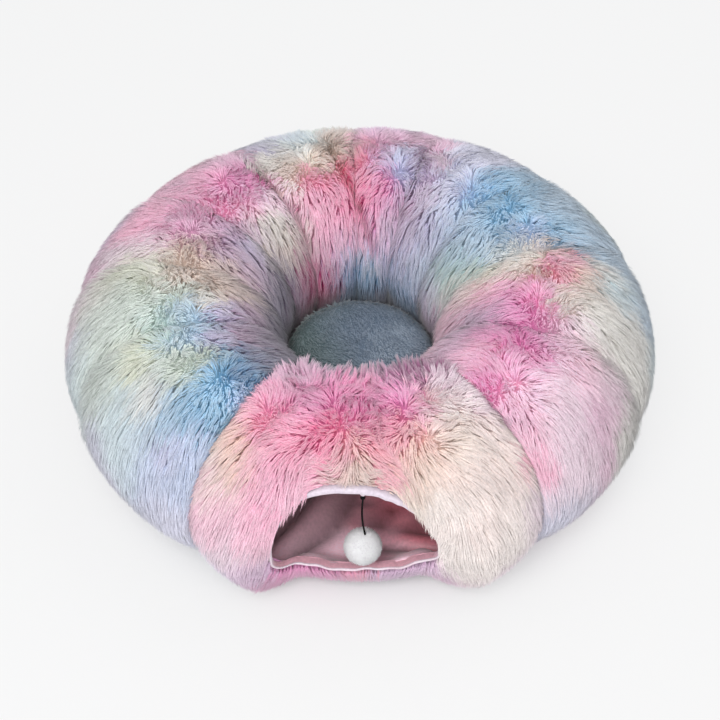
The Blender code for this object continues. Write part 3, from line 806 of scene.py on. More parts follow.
def weave_group():
    """Plain weave on the cloth's own UV, in metres: warp over weft, with slubs."""
    tree, given, out = group(
        "plain_weave",
        [("Place", VECTOR, (0, 0, 0)), ("Threads", VALUE, 2000.0)],
        [("Height", VALUE), ("Thread", VALUE)],
    )
    place = given.outputs["Place"]
    scaled = {0: place, "Scale": given.outputs["Threads"]}
    scaled = add(tree, "ShaderNodeVectorMath", scaled, operation="SCALE").outputs[0]
    parts = add(tree, "ShaderNodeSeparateXYZ", {0: scaled}).outputs
    warp, weft = (math_node(tree, "SINE", parts[axis]) for axis in "XY")
    slub = noise(tree, place, 260.0, 2.0)
    height = math_node(tree, "ADD", math_node(tree, "MULTIPLY", warp, weft), slub)
    plug(tree, out, {"Height": height, "Thread": slub})


def placed_group(tree, name, inputs):
    return add(tree, "ShaderNodeGroup", inputs, node_tree=bpy.data.node_groups[name])


def material(name, roughness, **constants):
    """A material's tree and its Principled shader. Constants are set on the shader's own sockets."""
    made = bpy.data.materials.new(name)
    made.use_nodes = True
    tree = made.node_tree
    shader = tree.nodes["Principled BSDF"]
    constants = {socket.replace("_", " "): value for socket, value in constants.items()}
    plug(tree, shader, {"Roughness": roughness, **constants})
    return tree, shader


def plush_material(name, root_value, tip_highlight, root_saturation, sheen):
    tree, shader = material(
        name, 0.86, Sheen_Weight=sheen, Sheen_Roughness=0.5, Specular_IOR_Level=0.25
    )
    # Root value and tip white set the painted shade or light at the roots and the painted highlight at
    # the tips
    inputs = {
        "Dye": add(tree, "ShaderNodeAttribute", attribute_name="dye").outputs["Color"],
        "Along": add(tree, "ShaderNodeAttribute", attribute_name="along").outputs["Fac"],
        "Root Value": root_value,
        "Tip White": tip_highlight,
        "Root Saturation": root_saturation,
    }
    fibres = placed_group(tree, "pile_fibres", inputs).outputs
    roughness = ramped(tree, fibres["Streak"], 0.78, 0.94, 0.3, 0.7)
    plug(tree, shader, {"Base Color": fibres["Colour"], "Roughness": roughness})


def cloth_material(name, first, second, roughness, threads, bump, patch_scale, sheen=0.0):
    """Woven cloth whose colour drifts between two shades, with its threads as fine bump.

    Where the first shade is the name of a colour attribute, the second one tints it.
    """
    tree, shader = material(name, roughness, Sheen_Weight=sheen)
    place = add(tree, "ShaderNodeUVMap", uv_map="cloth").outputs["UV"]
    woven = placed_group(tree, "plain_weave", {"Place": place, "Threads": threads}).outputs
    drift = noise(tree, object_place(tree), patch_scale, 3.0)
    if isinstance(first, str):
        first = add(tree, "ShaderNodeAttribute", attribute_name=first).outputs["Color"]
        second = mixed(tree, 1.0, first, second, "MULTIPLY")
    shade = mixed(tree, ramped(tree, drift, 0.0, 1.0, 0.2, 0.8), first, second)
    shade = {"Color": shade, "Value": ramped(tree, woven["Thread"], 0.92, 1.06, 0.3, 0.7)}
    inputs = {
        "Base Color": add(tree, "ShaderNodeHueSaturation", shade).outputs[0],
        "Roughness": ramped(tree, drift, roughness - 0.05, roughness + 0.07, 0.3, 0.7),
        "Normal": bumped(tree, woven["Height"], bump, 0.0002),
    }
    plug(tree, shader, inputs)


def rgba(colour, strength=1.0):
    return (*(strength * part for part in colour), 1.0)


# Dyes and lie of the long pile

SPLASH_SIZE = 0.018
TUBE_HALF_WIDTH = 0.145
TUBE_HALF_HEIGHT = 0.12
HOLE_RADIUS = 0.12
CREST = 1.62
BRUSHED_WAY = np.array([0.0, -0.75, -0.3])
WHORL_CORE_SHARE = 0.45
PARTING_WIDTH = 0.0058
PARTING_DEPTH = 0.005
UNDERSIDE_HEIGHT = 0.014
UNDERSIDE_SHARE = 0.22
FLOOR_GAP = 0.0012
BACKING_THICKNESS = 0.0011
STITCH_SHARE = 0.85
PRESSED_SHARE = 0.85
# Near the hole, pile whose tips drop below the mat's top is painted into shade, fading over a band about
# the mat's height
MAT_VIEW_RADIUS = 0.18
MAT_PAINTED_SHADE_BAND = 0.012

# Angles round the tube, in radians: where the pile on the hole's side starts, is full and ends
HOLE_SIDE = (1.9, 2.3, 2.85, 3.1)
FRINGE_SIDE = (1.75, 2.1, 2.7, 3.0)

# Metres across the entrance: where the short pile over it starts, is full and ends
BROW_WIDTH = (-0.08, -0.02, 0.04, 0.075)


def tube_angles(points):
    """Angles round the ring and round the tube's oval section of points in space."""
    ring = np.arctan2(points[..., 1], points[..., 0])
    out = (np.hypot(points[..., 0], points[..., 1]) - RING_RADIUS) / TUBE_HALF_WIDTH
    return ring, np.arctan2((points[..., 2] - TUBE_HEIGHT) / TUBE_HALF_HEIGHT, out)


def apart_on_tube(ring, tube, radius, centre_ring, centre_tube):
    """Metres round the ring and round the tube from a centre to points."""
    return wrapped(ring - centre_ring) * radius, wrapped(tube - centre_tube) * TUBE_MEAN_RADIUS


def ring_radius(points):
    return np.maximum(np.hypot(points[..., 0], points[..., 1]), HOLE_RADIUS)


def splashed(text, colours):
    """The dye at any point of a lobe: the splashes near it, run into each other."""
    entries = [entry.split() for entry in text.split(",")]
    angles = np.radians([[float(turn) for turn in entry[:2]] for entry in entries])
    paint = np.array([colours[entry[2]] for entry in entries])
    sizes = [float(entry[3]) / 1000 if len(entry) > 3 else SPLASH_SIZE for entry in entries]

    def dyes(points):
        ring, tube = tube_angles(points)
        ring = ring + ripple(points, 0.055, 11) * 0.03
        tube = tube + ripple(points, 0.05, 12) * 0.08
        radius = ring_radius(points)
        across, up = apart_on_tube(ring[:, None], tube[:, None], radius[:, None], *angles.T)
        apart = (across**2 + up**2) / np.square(sizes)
        near = np.exp(-apart / 2) + 1e-4 / (1 + apart) ** 2
        return (near @ paint) / near.sum(1, keepdims=True)

    return dyes


def tube_centre(points):
    ring = np.arctan2(points[:, 1], points[:, 0])
    height = np.full(len(points), TUBE_HEIGHT)
    return np.stack([RING_RADIUS * np.cos(ring), RING_RADIUS * np.sin(ring), height], axis=1)


def brushed_flow(points, normals, along, round_it, share, whorls, combed):
    """Which way the pile lies: down both sides of the crest, brushed to the front, out from whorls.

    Also how much each point is at the crest or in a whorl, where the pile stands up.
    """
    ring, tube = tube_angles(points)
    radius = ring_radius(points)
    side = wrapped(tube - CREST)
    brushed = BRUSHED_WAY - normals * (normals @ BRUSHED_WAY)[:, None]
    over_seam = 1.1 if len(combed) else 0.45
    flow = brushed + np.tanh(side / 0.45)[:, None] * round_it + (over_seam * share**3)[:, None] * along
    upright = np.exp(-((side / 0.55) ** 2))
    spin = 0.3 * ripple(points, 0.06, 21) + (0.1 + 0.5 * upright) * ripple(points, 0.024, 22)
    astray = 0.3 * ripple(points, 0.035, 24), 0.3 * ripple(points, 0.035, 25)
    flow = unit(flow + spin[:, None] * np.cross(normals, unit(flow)))
    for *centre, size in whorls:
        across, up = apart_on_tube(ring, tube, radius, *map(math.radians, centre))
        across, up = across + size * astray[0], up + size * astray[1]
        distance = np.hypot(across, up)
        inside = np.exp(-((distance / size) ** 2))
        away = across[:, None] * along + up[:, None] * round_it
        away = away / (distance + WHORL_CORE_SHARE * size)[:, None]
        flow = flow * (1 - 0.75 * inside)[:, None] + away * (1.7 * inside)[:, None]
        upright = np.maximum(upright, 0.8 * np.exp(-((distance / (0.7 * size)) ** 2)))
    for *centre, size, way in combed:
        apart = apart_on_tube(ring, tube, radius, *map(math.radians, centre))
        inside = np.exp(-((np.hypot(*apart) / size) ** 2))[:, None]
        wavy = np.array(way) + 0.5 * ripple(points, 0.03, 23)[:, None] * round_it
        flow = unit(flow) * (1 - 0.85 * inside) + 1.2 * inside * wavy
    return unit(flow - part_along(flow, normals)), upright


def parted(points):
    """How near each point is to a line where the pile parts, from 0 to 1."""
    ring, tube = tube_angles(points)
    radius = np.hypot(points[:, 0], points[:, 1])
    near = np.zeros(len(points))
    for line in PARTINGS:
        tubes, rings = np.radians(line).T
        apart = (ring - np.interp(tube, tubes, rings)) * radius + 0.0035 * ripple(points, 0.012, 26)
        first, last = (smooth_step(-0.12, 0.1, tube - end) for end in (tubes[0], tubes[-1]))
        ends = first * (1 - last)
        near = np.maximum(near, ends * np.exp(-((apart / PARTING_WIDTH) ** 2)))
    return near


def pile_density(settings):
    full = settings.tufts_per_metre**2
    return lambda points: np.where(points[..., 2] < UNDERSIDE_HEIGHT, UNDERSIDE_SHARE * full, full)


def fringe_edge(part):
    """How near the entrance's edge the pile reaches: 1 is on the edge, and less is over it."""
    left = 1 - smooth_step(-0.085, -0.03, part[:, 0])
    upper = smooth_step(0.0, 0.03, part[:, 2] - ENTRANCE_MID_HEIGHT)
    right = smooth_step(0.045, 0.075, part[:, 0])
    over = 0.4 + 0.5 * ripple(part, 0.008, 32) + 0.8 * ripple(part, 0.0025, 33)
    edge = 1.0 + (0.035 + 0.02 * over) * upper * (1 - left) * (1 - right)
    return edge - (0.055 * left + 0.07 * right * upper) * over


def clear_of_entrance(root, middle, tip, *rest):
    """Leaves out locks that are rooted in the entrance, and turns tips out of it."""
    front = root[:, 1] < -RING_RADIUS
    edge = BINDING_WIDTH * np.where(root[:, 2] > ENTRANCE_MID_HEIGHT, 1.1, 0.6)
    keep = ~(front & (entrance_measure(root[:, 0], root[:, 2], edge) < 1))
    root, middle, tip, *rest = (part[keep] for part in (root, middle, tip, *rest))
    for part in (middle, tip):
        size, edge = entrance_measure(part[:, 0], part[:, 2]), fringe_edge(part)
        inside = (part[:, 1] < -RING_RADIUS) & (size < edge)
        push = np.where(inside, edge / np.maximum(size, 0.05), 1.0)
        part[:, 0] = ENTRANCE_ASIDE + (part[:, 0] - ENTRANCE_ASIDE) * push
        part[:, 2] = ENTRANCE_MID_HEIGHT + (part[:, 2] - ENTRANCE_MID_HEIGHT) * push
    return (root, middle, tip), *rest


def within_seams(part, start, end, slack):
    """Turns points that reach past their lobe's seams back to them."""
    middle, half = (start + end) / 2, (end - start) / 2
    turned = wrapped(np.arctan2(part[:, 1], part[:, 0]) - middle)
    back = np.clip(turned, -half + slack, half - slack) - turned
    x, y = part[:, 0].copy(), part[:, 1].copy()
    part[:, 0] = x * np.cos(back) - y * np.sin(back)
    part[:, 1] = x * np.sin(back) + y * np.cos(back)


def short_over_entrance(points):
    """How far the pile over the entrance is cut short, and its way out from the entrance."""
    beside = entrance_measure(points[:, 0], points[:, 2]) - 1
    brow = (points[:, 1] < -RING_RADIUS) & (points[:, 2] > ENTRANCE_MID_HEIGHT)
    short = np.where(brow, 1 - smooth_step(0.06, 0.24, beside), 0.0)
    short = short * plateau(points[:, 0], *BROW_WIDTH)
    outward = np.stack([points[:, 0] - ENTRANCE_ASIDE, 0 * beside, points[:, 2] - 0.06], axis=1)
    return short, unit(outward)


def plush_lobe(name, index, lobe, shares, node, whorls, dyes, settings):
    """One puffed lobe: its backing skin and the long pile that grows on it."""
    start, end, front = lobe
    draw = np.random.default_rng(100 + index)
    depth = settings.root_depth
    surface = lobe_surface(start, end, front, depth)
    turns = np.linspace(-math.pi, math.pi, 91)
    share, phi = spread(surface, shares, turns, pile_density(settings), draw)
    points, normals, along, round_it = frames(surface, np.clip(share, -0.985, 0.985), phi, tube_centre)
    points = surface(share, phi)
    count = len(points)
    combed = FRONT_COMBED if front else ()
    flow, upright = brushed_flow(points, normals, along, round_it, share, whorls, combed)
    ruffled = np.clip(0.5 + 0.8 * ripple(points, 0.05, 31), 0, 1)
    lengths = settings.tuft_length * (1 - 0.12 * upright) * draw.uniform(0.78, 1.2, count)
    lean = 1.22 - upright * (0.38 + 0.42 * ruffled)

    # Crisp is the part of a seam that stays a sharp groove, and upper the part that is seen from above
    crisp = np.where(phi > 0, smooth_step(0.75, 1.7, phi), 1 - smooth_step(-2.2, -1.2, phi))
    crisp = np.ones(count) if front else crisp
    upper = smooth_step(0.1, 1.1, phi)
    seamward = np.abs(share) ** 4 * (1 - crisp)
    lean = lean - 0.4 * seamward
    fringe = np.zeros(count)
    wall = plateau(phi, *HOLE_SIDE) * (not front)
    lean = lean - 0.22 * wall
    if front:
        fringe = plateau(phi, *FRINGE_SIDE)
        lean = lean * (1 - fringe) + (0.35 + 0.3 * ruffled) * fringe
        short, outward = short_over_entrance(points)
        lengths = lengths * (1 + 0.5 * fringe) * (1 - 0.6 * short)
        flow = unit(flow + 1.2 * short[:, None] * outward)
    stands = np.maximum(upright, fringe)
    sizes = settings.clump_size * (1 + 0.25 * stands - 0.7 * fringe)
    led_by = strands(points, flow, draw, sizes, 0.965 - 0.3 * stands)
    pull = 0.03 + 0.1 * upper + 0.5 * stands + 0.14 * fringe + 0.25 * wall
    rough = 0.06 + 0.12 * stands * ruffled + 0.06 * wall
    gather = 0.4 * stands + 0.2 * fringe
    locks = grown(
        points, normals, flow, lengths, lean, draw, led_by, pull, rough, droop=0.1, gather=gather
    )
    _, middle, tip = locks

    # Proud is how far a lock's tip may stand over its root
    lift = draw.uniform(0, 1, count)[led_by]
    seam = smooth_step(0.86, 0.98, np.abs(share)) * smooth_step(0.8, 1.3, phi) * (1 - fringe)
    proud = depth - 0.0025 + 0.0022 * lift * upper + 0.012 * seamward - 0.009 * seam
    proud = proud + 0.004 * lift * wall
    proud = proud + stands * (0.003 + 0.0075 * ruffled) * (1 - 0.9 * seam)
    proud = proud + fringe * (0.021 * lift**2 - 0.011)
    line = parted((points + tip) / 2)
    proud = proud - PARTING_DEPTH * line

    # Reach is how far, in radians, a lock may cross its lobe's seams
    reach = draw.uniform(-0.012, 0.05, count) * (1 - crisp) - draw.uniform(-0.004, 0.012, count) * crisp
    beside_front = (share > 0) if index == len(LOBE_WHORLS) - 1 else (share < 0) & (index == 0)
    held_back = 2 * np.minimum(reach, 0.0) - 0.006
    reach = 5 * reach + 0.055 if front else np.where(beside_front, held_back, reach)
    for part, limit in ((middle, proud * 0.7), (tip, proud)):
        rise = np.sum((part - points) * normals, axis=1)
        part -= normals * (PRESSED_SHARE * np.maximum(rise - limit, 0))[:, None]
        within_seams(part, start, end, -reach)
        part[:, 2] = np.maximum(part[:, 2], FLOOR_GAP)

    widths = settings.tuft_width * draw.uniform(0.7, 1.25, count)
    widths = widths * (1.1 + 0.2 * fringe - 0.1 * stands)
    shared, own = draw.normal(size=(2, count, 4))
    seen = 0.6 * points[led_by] + 0.4 * points + 0.6 * (tip - points)
    paint = dyes(seen + 0.004 * (shared[led_by, :3] + own[:, :3]))
    # Painted light and shade: the back lobes paler all over, all lobes paler where the pile stands up at
    # crests and whorls, darker in the seams' grooves
    painted_light = 0.99 + 0.24 * stands - 0.12 * seam if front else 1.07 + 0.32 * stands - 0.65 * seam
    # Painted shade where the tips drop below the mat's top, on the walls near the hole
    low = 1 - smooth_step(MAT_HEIGHT - MAT_PAINTED_SHADE_BAND, MAT_HEIGHT + MAT_PAINTED_SHADE_BAND, tip[:, 2])
    painted_light = painted_light - 0.45 * low * (np.hypot(points[:, 0], points[:, 1]) < MAT_VIEW_RADIUS)
    paint = paint * (painted_light[:, None] + 0.035 * shared[led_by, 3:] + 0.03 * own[:, 3:])
    # Painted shade along the partings: darker and deeper in colour there
    line = line[:, None]
    paint = np.clip(paint * (1 - 0.25 * line), 0.01, 0.95) ** (1 + 0.9 * line)
    skin = sheet_over(surface, shares[::2], np.linspace(-math.pi, math.pi, 49))
    if front:
        locks, widths, normals, paint = clear_of_entrance(*locks, widths, normals, paint)
        open_entrance(skin, BINDING_WIDTH * STITCH_SHARE)
    bmesh.ops.solidify(skin, geom=skin.faces[:], thickness=BACKING_THICKNESS)
    mesh = plush_mesh(name, locks, widths, normals, paint, skin, dyes)
    finished(mesh, name, "dyed_pile", node)


# Operators, one for each piece or group of like pieces


class PLUSHTUNNEL_OT_stage(Operator):
    """Pale floor, soft light and the camera at the photograph's angle"""

    bl_idname = "plush_tunnel.stage"
    bl_label = "Stage"

    def execute(self, context):
        scene = context.scene
        scene.view_settings.view_transform = "Standard"
        data = bpy.data.cameras.new("camera")
        data.lens, data.sensor_width, data.shift_y = CAMERA_LENS_MM, 36.0, CAMERA_SHIFT
        camera = bpy.data.objects.new("camera", data)
        way = Vector((0, -math.cos(CAMERA_TILT), math.sin(CAMERA_TILT)))
        camera.location = CAMERA_TARGET + CAMERA_DISTANCE * way
        camera.rotation_euler = (math.pi / 2 - CAMERA_TILT, 0, 0)
        scene.collection.objects.link(camera)
        scene.camera = camera
        self.floor(scene)
        scene.world = bpy.data.worlds.new("studio")
        scene.world.use_nodes = True
        tree = scene.world.node_tree
        plain = tree.nodes["Background"]
        plug(tree, plain, {"Color": (0.97, 0.98, 1.0, 1), "Strength": 0.78})
        pale = add(tree, "ShaderNodeBackground", {"Color": (0.94, 0.94, 0.94, 1), "Strength": 1.0})
        self.shown(tree, "World Output", self.seen(tree), plain, pale)
        for name, place, size, power in (
            ("key_light", (-0.6, -2.0, 2.5), 1.8, 50.0),
            ("fill_light", (1.6, 1.0, 2.6), 2.0, 10.0),
        ):
            lamp = bpy.data.lights.new(name, "AREA")
            lamp.size, lamp.energy = size, power
            light = bpy.data.objects.new(name, lamp)
            light.location = place
            light.rotation_euler = (CAMERA_TARGET - light.location).to_track_quat("-Z", "Y").to_euler()
            scene.collection.objects.link(light)
        return {"FINISHED"}

    def floor(self, scene):
        """A floor that is pale to the camera further out, and keeps the shadow near the tunnel."""
        bm = bmesh.new()
        bmesh.ops.create_grid(bm, x_segments=2, y_segments=2, size=9.0)
        mesh = bpy.data.meshes.new("floor")
        bm.to_mesh(mesh)
        bm.free()
        floor = bpy.data.objects.new("floor", mesh)
        scene.collection.objects.link(floor)
        tree, shader = material(
            "pale_floor", 0.9, Base_Color=(0.86, 0.86, 0.86, 1), Specular_IOR_Level=0.1
        )
        glow = add(tree, "ShaderNodeEmission", {"Color": (0.915, 0.915, 0.915, 1), "Strength": 1.0})
        solid = {0: object_place(tree)}
        away = add(tree, "ShaderNodeVectorMath", solid, operation="LENGTH").outputs["Value"]
        share = math_node(tree, "MULTIPLY", self.seen(tree), ramped(tree, away, 0.0, 0.8, 0.28, 0.42))
        self.shown(tree, "Material Output", share, shader, glow)
        mesh.materials.append(bpy.data.materials["pale_floor"])

    def seen(self, tree):
        """1 for a ray from the camera, or one that a mirror or clear surface sends on."""
        rays = add(tree, "ShaderNodeLightPath").outputs
        either = math_node(tree, "MAXIMUM", rays["Is Camera Ray"], rays["Is Glossy Ray"])
        return math_node(tree, "MAXIMUM", either, rays["Is Transmission Ray"])

    def shown(self, tree, output, share, lit, pale):
        """Shows the pale shader by its share, and the lit one for the rest."""
        both = add(tree, "ShaderNodeMixShader", {0: share, 1: lit.outputs[0], 2: pale.outputs[0]})
        plug(tree, tree.nodes[output], {"Surface": both.outputs[0]})


class PLUSHTUNNEL_OT_materials(Operator):
    """Shader groups and the materials of the woven pieces"""

    bl_idname = "plush_tunnel.materials"
    bl_label = "Shared materials"

    def execute(self, context):
        trim = context.scene.plush_tunnel.trim
        pile_group()
        weave_group()
        white, pink, grey = rgba(trim.binding_white), rgba(trim.satin_pink), rgba(trim.base_grey)

        # Two shades, roughness, threads, bump, patch scale and sheen
        cloth_material("binding_cloth", white, pink, 0.42, 9000.0, 0.15, 22.0, 0.25)
        cloth_material("turned_cloth", "satin_tint", (0.88, 0.86, 0.9, 1), 0.4, 9000.0, 0.15, 30.0, 0.25)
        cloth_material("lining_cloth", "satin_tint", (0.9, 0.88, 0.9, 1), 0.36, 9000.0, 0.12, 14.0, 0.3)
        cloth_material("tape_cloth", rgba(trim.tape_pink), white, 0.8, 5200.0, 0.5, 60.0)
        cloth_material("base_weave", grey, rgba(trim.base_grey, 0.86), 0.9, 3600.0, 0.7, 30.0)
        fibre = rgba(trim.fibre_white), (0.72, 0.72, 0.7, 1)
        cloth_material("fibre_fleece", *fibre, 0.95, 700.0, 0.8, 55.0)
        return {"FINISHED"}


class PLUSHTUNNEL_OT_cord(Operator):
    """Black elastic cord of the toy, its knot and the satin tab that it is tied to"""

    bl_idname = "plush_tunnel.cord"
    bl_label = "Toy cord"

    def execute(self, context):
        black = context.scene.plush_tunnel.trim.cord_black
        tree, shader = material("elastic", 0.85, Specular_IOR_Level=0.15)
        braid = {"Vector": object_place(tree), "Scale": 260.0, "Distortion": 2.0, "Detail": 1.0}
        braid = add(tree, "ShaderNodeTexWave", braid, bands_direction="DIAGONAL").outputs["Fac"]
        shade = mixed(tree, braid, rgba(black), rgba(black, 1.6))
        plug(tree, shader, {"Base Color": shade, "Normal": bumped(tree, braid, 0.6, 0.0003)})
        low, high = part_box("cord_knot")
        knot = (low + high) / 2
        curve = bpy.data.curves.new("elastic_cord", "CURVE")
        curve.dimensions = "3D"
        curve.bevel_depth = CORD_DIAMETER / 2
        curve.bevel_resolution = 5
        curve.use_fill_caps = True
        spline = curve.splines.new("BEZIER")
        spline.bezier_points.add(len(CORD_POINTS) - 1)
        for point, (x, z) in zip(spline.bezier_points, CORD_POINTS):
            point.co = (x, knot.y, z)
            point.handle_left_type = point.handle_right_type = "AUTO"
        finished(curve, "elastic_cord", "elastic", "toy_cord")
        bm = bmesh.new()
        bmesh.ops.create_uvsphere(bm, u_segments=20, v_segments=14, radius=1.0)
        places = places_of(bm)
        twist = 1 + 0.16 * np.sin(3 * np.arctan2(places[:, 1], places[:, 0]) + 7 * places[:, 2])
        for vert, place, grow in zip(bm.verts, places, twist):
            vert.co = knot + Vector(place * grow * KNOT_HALF_SIZES)
        finished(bm, "elastic_knot", "elastic", "cord_knot")
        self.tab(*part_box("cord_tab"))
        return {"FINISHED"}

    def tab(self, low, high):
        """A satin tab that narrows towards the knot."""
        bm = bmesh.new()
        bmesh.ops.create_cube(bm, size=1.0)
        bmesh.ops.scale(bm, vec=high - low, verts=bm.verts)
        bmesh.ops.translate(bm, vec=(low + high) / 2, verts=bm.verts)
        bmesh.ops.subdivide_edges(bm, edges=bm.edges, cuts=7, use_grid_fill=True)
        lay_uv(bm, lambda place: (place.x + place.y, place.z))
        middle = (low + high) / 2
        for vert in bm.verts:
            sink = math.cos((vert.co.x - middle.x) * 900) * 0.00025
            lowness = (high.z - vert.co.z) / (high.z - low.z)
            vert.co.x = middle.x + (vert.co.x - middle.x) * (1 - 0.72 * lowness)
            vert.co.y = middle.y + (vert.co.y - middle.y) * 0.85 + sink
        bmesh.ops.bevel(
            bm,
            geom=[edge for edge in bm.edges if edge.calc_face_angle(0) > 1.0],
            offset=0.0003,
            offset_type="OFFSET",
            segments=2,
            profile=0.5,
            affect="EDGES",
            material=-1,
        )
        finished(bm, "cord_tab_satin", "binding_cloth", "cord_tab")


class PLUSHTUNNEL_OT_ball(Operator):
    """White plush ball that hangs in the entrance"""

    bl_idname = "plush_tunnel.ball"
    bl_label = "Toy ball"
    root_depth = 0.003
    tuft_width = 0.0013
    tufts_per_area = 1.5e6

    def execute(self, context):
        settings = context.scene.plush_tunnel
        low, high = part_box("toy_ball")
        centre, radius = np.array((low + high) / 2), (high.x - low.x) / 2 - self.root_depth
        draw = np.random.default_rng(7)

        def surface(turn, tilt):
            way = [np.cos(turn) * np.cos(tilt), np.sin(turn) * np.cos(tilt), np.sin(tilt)]
            return centre + radius * np.stack(way, axis=-1)

        turns, tilts = np.linspace(0, math.tau, 81), np.linspace(-math.pi / 2, math.pi / 2, 41)
        turn, tilt = spread(surface, turns, tilts, lambda places: self.tufts_per_area, draw)
        points = surface(turn, tilt)
        normals = unit(points - centre)
        flow = unit(np.cross(normals, draw.normal(size=points.shape)))
        lengths = settings.pile.ball_tuft_length * draw.uniform(0.7, 1.2, len(points))
        lean = draw.uniform(0.3, 0.95, len(points))
        led_by = strands(points, flow, draw, 4, 0.5)
        locks = grown(points, normals, flow, lengths, lean, draw, led_by, 0.3, 0.1)
        white = np.array(settings.trim.ball_white)

        def whites(places):
            return np.tile(white, (len(places), 1))

        paint = np.clip(white * (1 + 0.03 * draw.normal(size=(len(points), 1))), 0, 0.95)
        widths = np.full(len(points), self.tuft_width)
        skin = sheet_over(surface, np.linspace(0, math.tau, 41), tilts[::2], closed_u=True)
        mesh = plush_mesh("plush_ball", locks, widths, normals, paint, skin, whites)
        plush_material("ball_pile", 1.05, 0.8, 1.0, 0.3)
        ball = finished(mesh, "plush_ball", "ball_pile", "toy_ball")
        return {"FINISHED"}


class PLUSHTUNNEL_OT_lobes(Operator):
    """The puffed lobes of dyed long-pile plush, the front one in two halves"""

    bl_idname = "plush_tunnel.lobes"
    bl_label = "Plush lobes"

    def execute(self, context):
        settings = context.scene.plush_tunnel
        plush_material("dyed_pile", 1.1, 0.24, 1.15, 0.35)
        colours = {name: np.array(getattr(settings.dyes, name)) for name in TunnelDyes.__annotations__}
        shares, wide = crowded_shares(41), crowded_shares(97)
        dyes, front_dyes = splashed(LOBE_SPLASHES, colours), splashed(FRONT_SPLASHES, colours)
        for index, lobe in enumerate(lobes()):
            if lobe[2]:
                looks = "cover_front", FRONT_WHORLS, front_dyes, settings.pile
                plush_lobe("plush_front_left", index, lobe, wide[wide <= 0], *looks)
                plush_lobe("plush_front_right", index + 1, lobe, wide[wide >= 0], *looks)
            else:
                number = f"{index + 1:02d}"
                looks = f"cover_panel_{number}", LOBE_WHORLS[index], dyes, settings.pile
                plush_lobe(f"plush_lobe_{number}", index, lobe, shares, *looks)
        return {"FINISHED"}


class PLUSHTUNNEL_OT_lining(Operator):
    """Satin sleeve inside the hoops, slack and folded"""

    bl_idname = "plush_tunnel.lining"
    bl_label = "Satin lining"

    def execute(self, context):
        count, sides = 280, 84
        even = np.linspace(0, 1, count)
        start = math.radians(SEAM_ANGLES_DEG[0])
        turns = start + math.tau * (even + 0.07 * np.sin(math.tau * (even - 0.4)))
        turns = start + math.tau * ((turns - turns[0]) / (turns[-1] - turns[0]))

        def surface(turn, phi):
            points = np.zeros((len(turn), 3))
            for low, high, front in lobes():
                here = (turn >= low - 1e-9) & (turn <= high + 1e-9)
                middle = math.radians(FRONT_ANGLE_DEG) if front else (low + high) / 2
                share = (turn - middle) / np.where(turn > middle, high - middle, middle - low)
                rest = tube_points(turn, phi, LINING_DEPTH, share, front, 1.0 if front else 0.6)
                points[here] = rest[here]
            inward = unit(tube_centre(points) - points)
            slack = 0.002 + 0.019 * self.folds(points) * (0.7 + 0.3 * ripple(points, 0.12, 42))
            measure = entrance_measure(points[:, 0], points[:, 2])
            near = np.where(points[:, 1] < -RING_RADIUS, smooth_step(1.05, 1.5, measure), 1.0)
            return points + inward * (slack * near)[:, None]

        bm = sheet_over(surface, turns, np.linspace(-math.pi, math.pi, sides + 1), closed_u=True)
        open_entrance(bm, BINDING_WIDTH * STITCH_SHARE)
        area = sum(face.calc_area() for face in bm.faces)
        paint = self.tint_and_fold_shade(context.scene.plush_tunnel.trim, places_of(bm))
        sleeve = finished(bm, "lining_sleeve", "lining_cloth", "inner_lining")
        # The satin tint holds the painted fold shade
        coloured(sleeve.data, "satin_tint", paint)
        thickened(sleeve, 0.0008)
        return {"FINISHED"}

    def folds(self, points):
        """How far each point stands up in the satin's folds, from 0 to 1."""
        slanted = points @ np.array([0.84, -0.54, 0.1]) + 0.009 * ripple(points, 0.1, 41)
        level = points @ np.array([0.15, 1.0, 0.5]) + 0.006 * ripple(points, 0.08, 43)
        right = smooth_step(-0.02, 0.025, points[:, 0])
        left_folds = np.abs(np.sin(slanted * 58)) ** 0.8
        right_folds = np.abs(np.sin(level * 92)) ** 0.8
        return (1 - right) * left_folds + right * right_folds

    def tint_and_fold_shade(self, trim, points):
        """The satin's colour: greyer on the left, redder on the right, pale towards the entrance, with
        painted shade in the folds' valleys and a painted highlight on their ridges.
        """
        x, y, z = points.T
        right = smooth_step(-0.06, 0.06, x + 0.02 * ripple(points, 0.07, 44))[:, None]
        shade = blended(trim.lining_mauve, trim.lining_pink, right)
        inner = -0.29 + 0.045 * np.exp(-(((x + 0.035) / 0.03) ** 2))
        pale = 1 - smooth_step(-0.02, 0.02, y - inner + 0.008 * ripple(points, 0.06, 45))
        pale = pale * (y < -0.2) * (z < 0.07)
        pale = np.maximum(pale, 0.5 * smooth_step(0.2, 0.9, ripple(points, 0.09, 46)))[:, None]
        shade = blended(shade, trim.lining_pale, pale)
        # Painted shade in the folds' valleys and a painted highlight on their ridges
        return shade * (0.48 + 0.85 * self.folds(points)[:, None] ** 1.5)


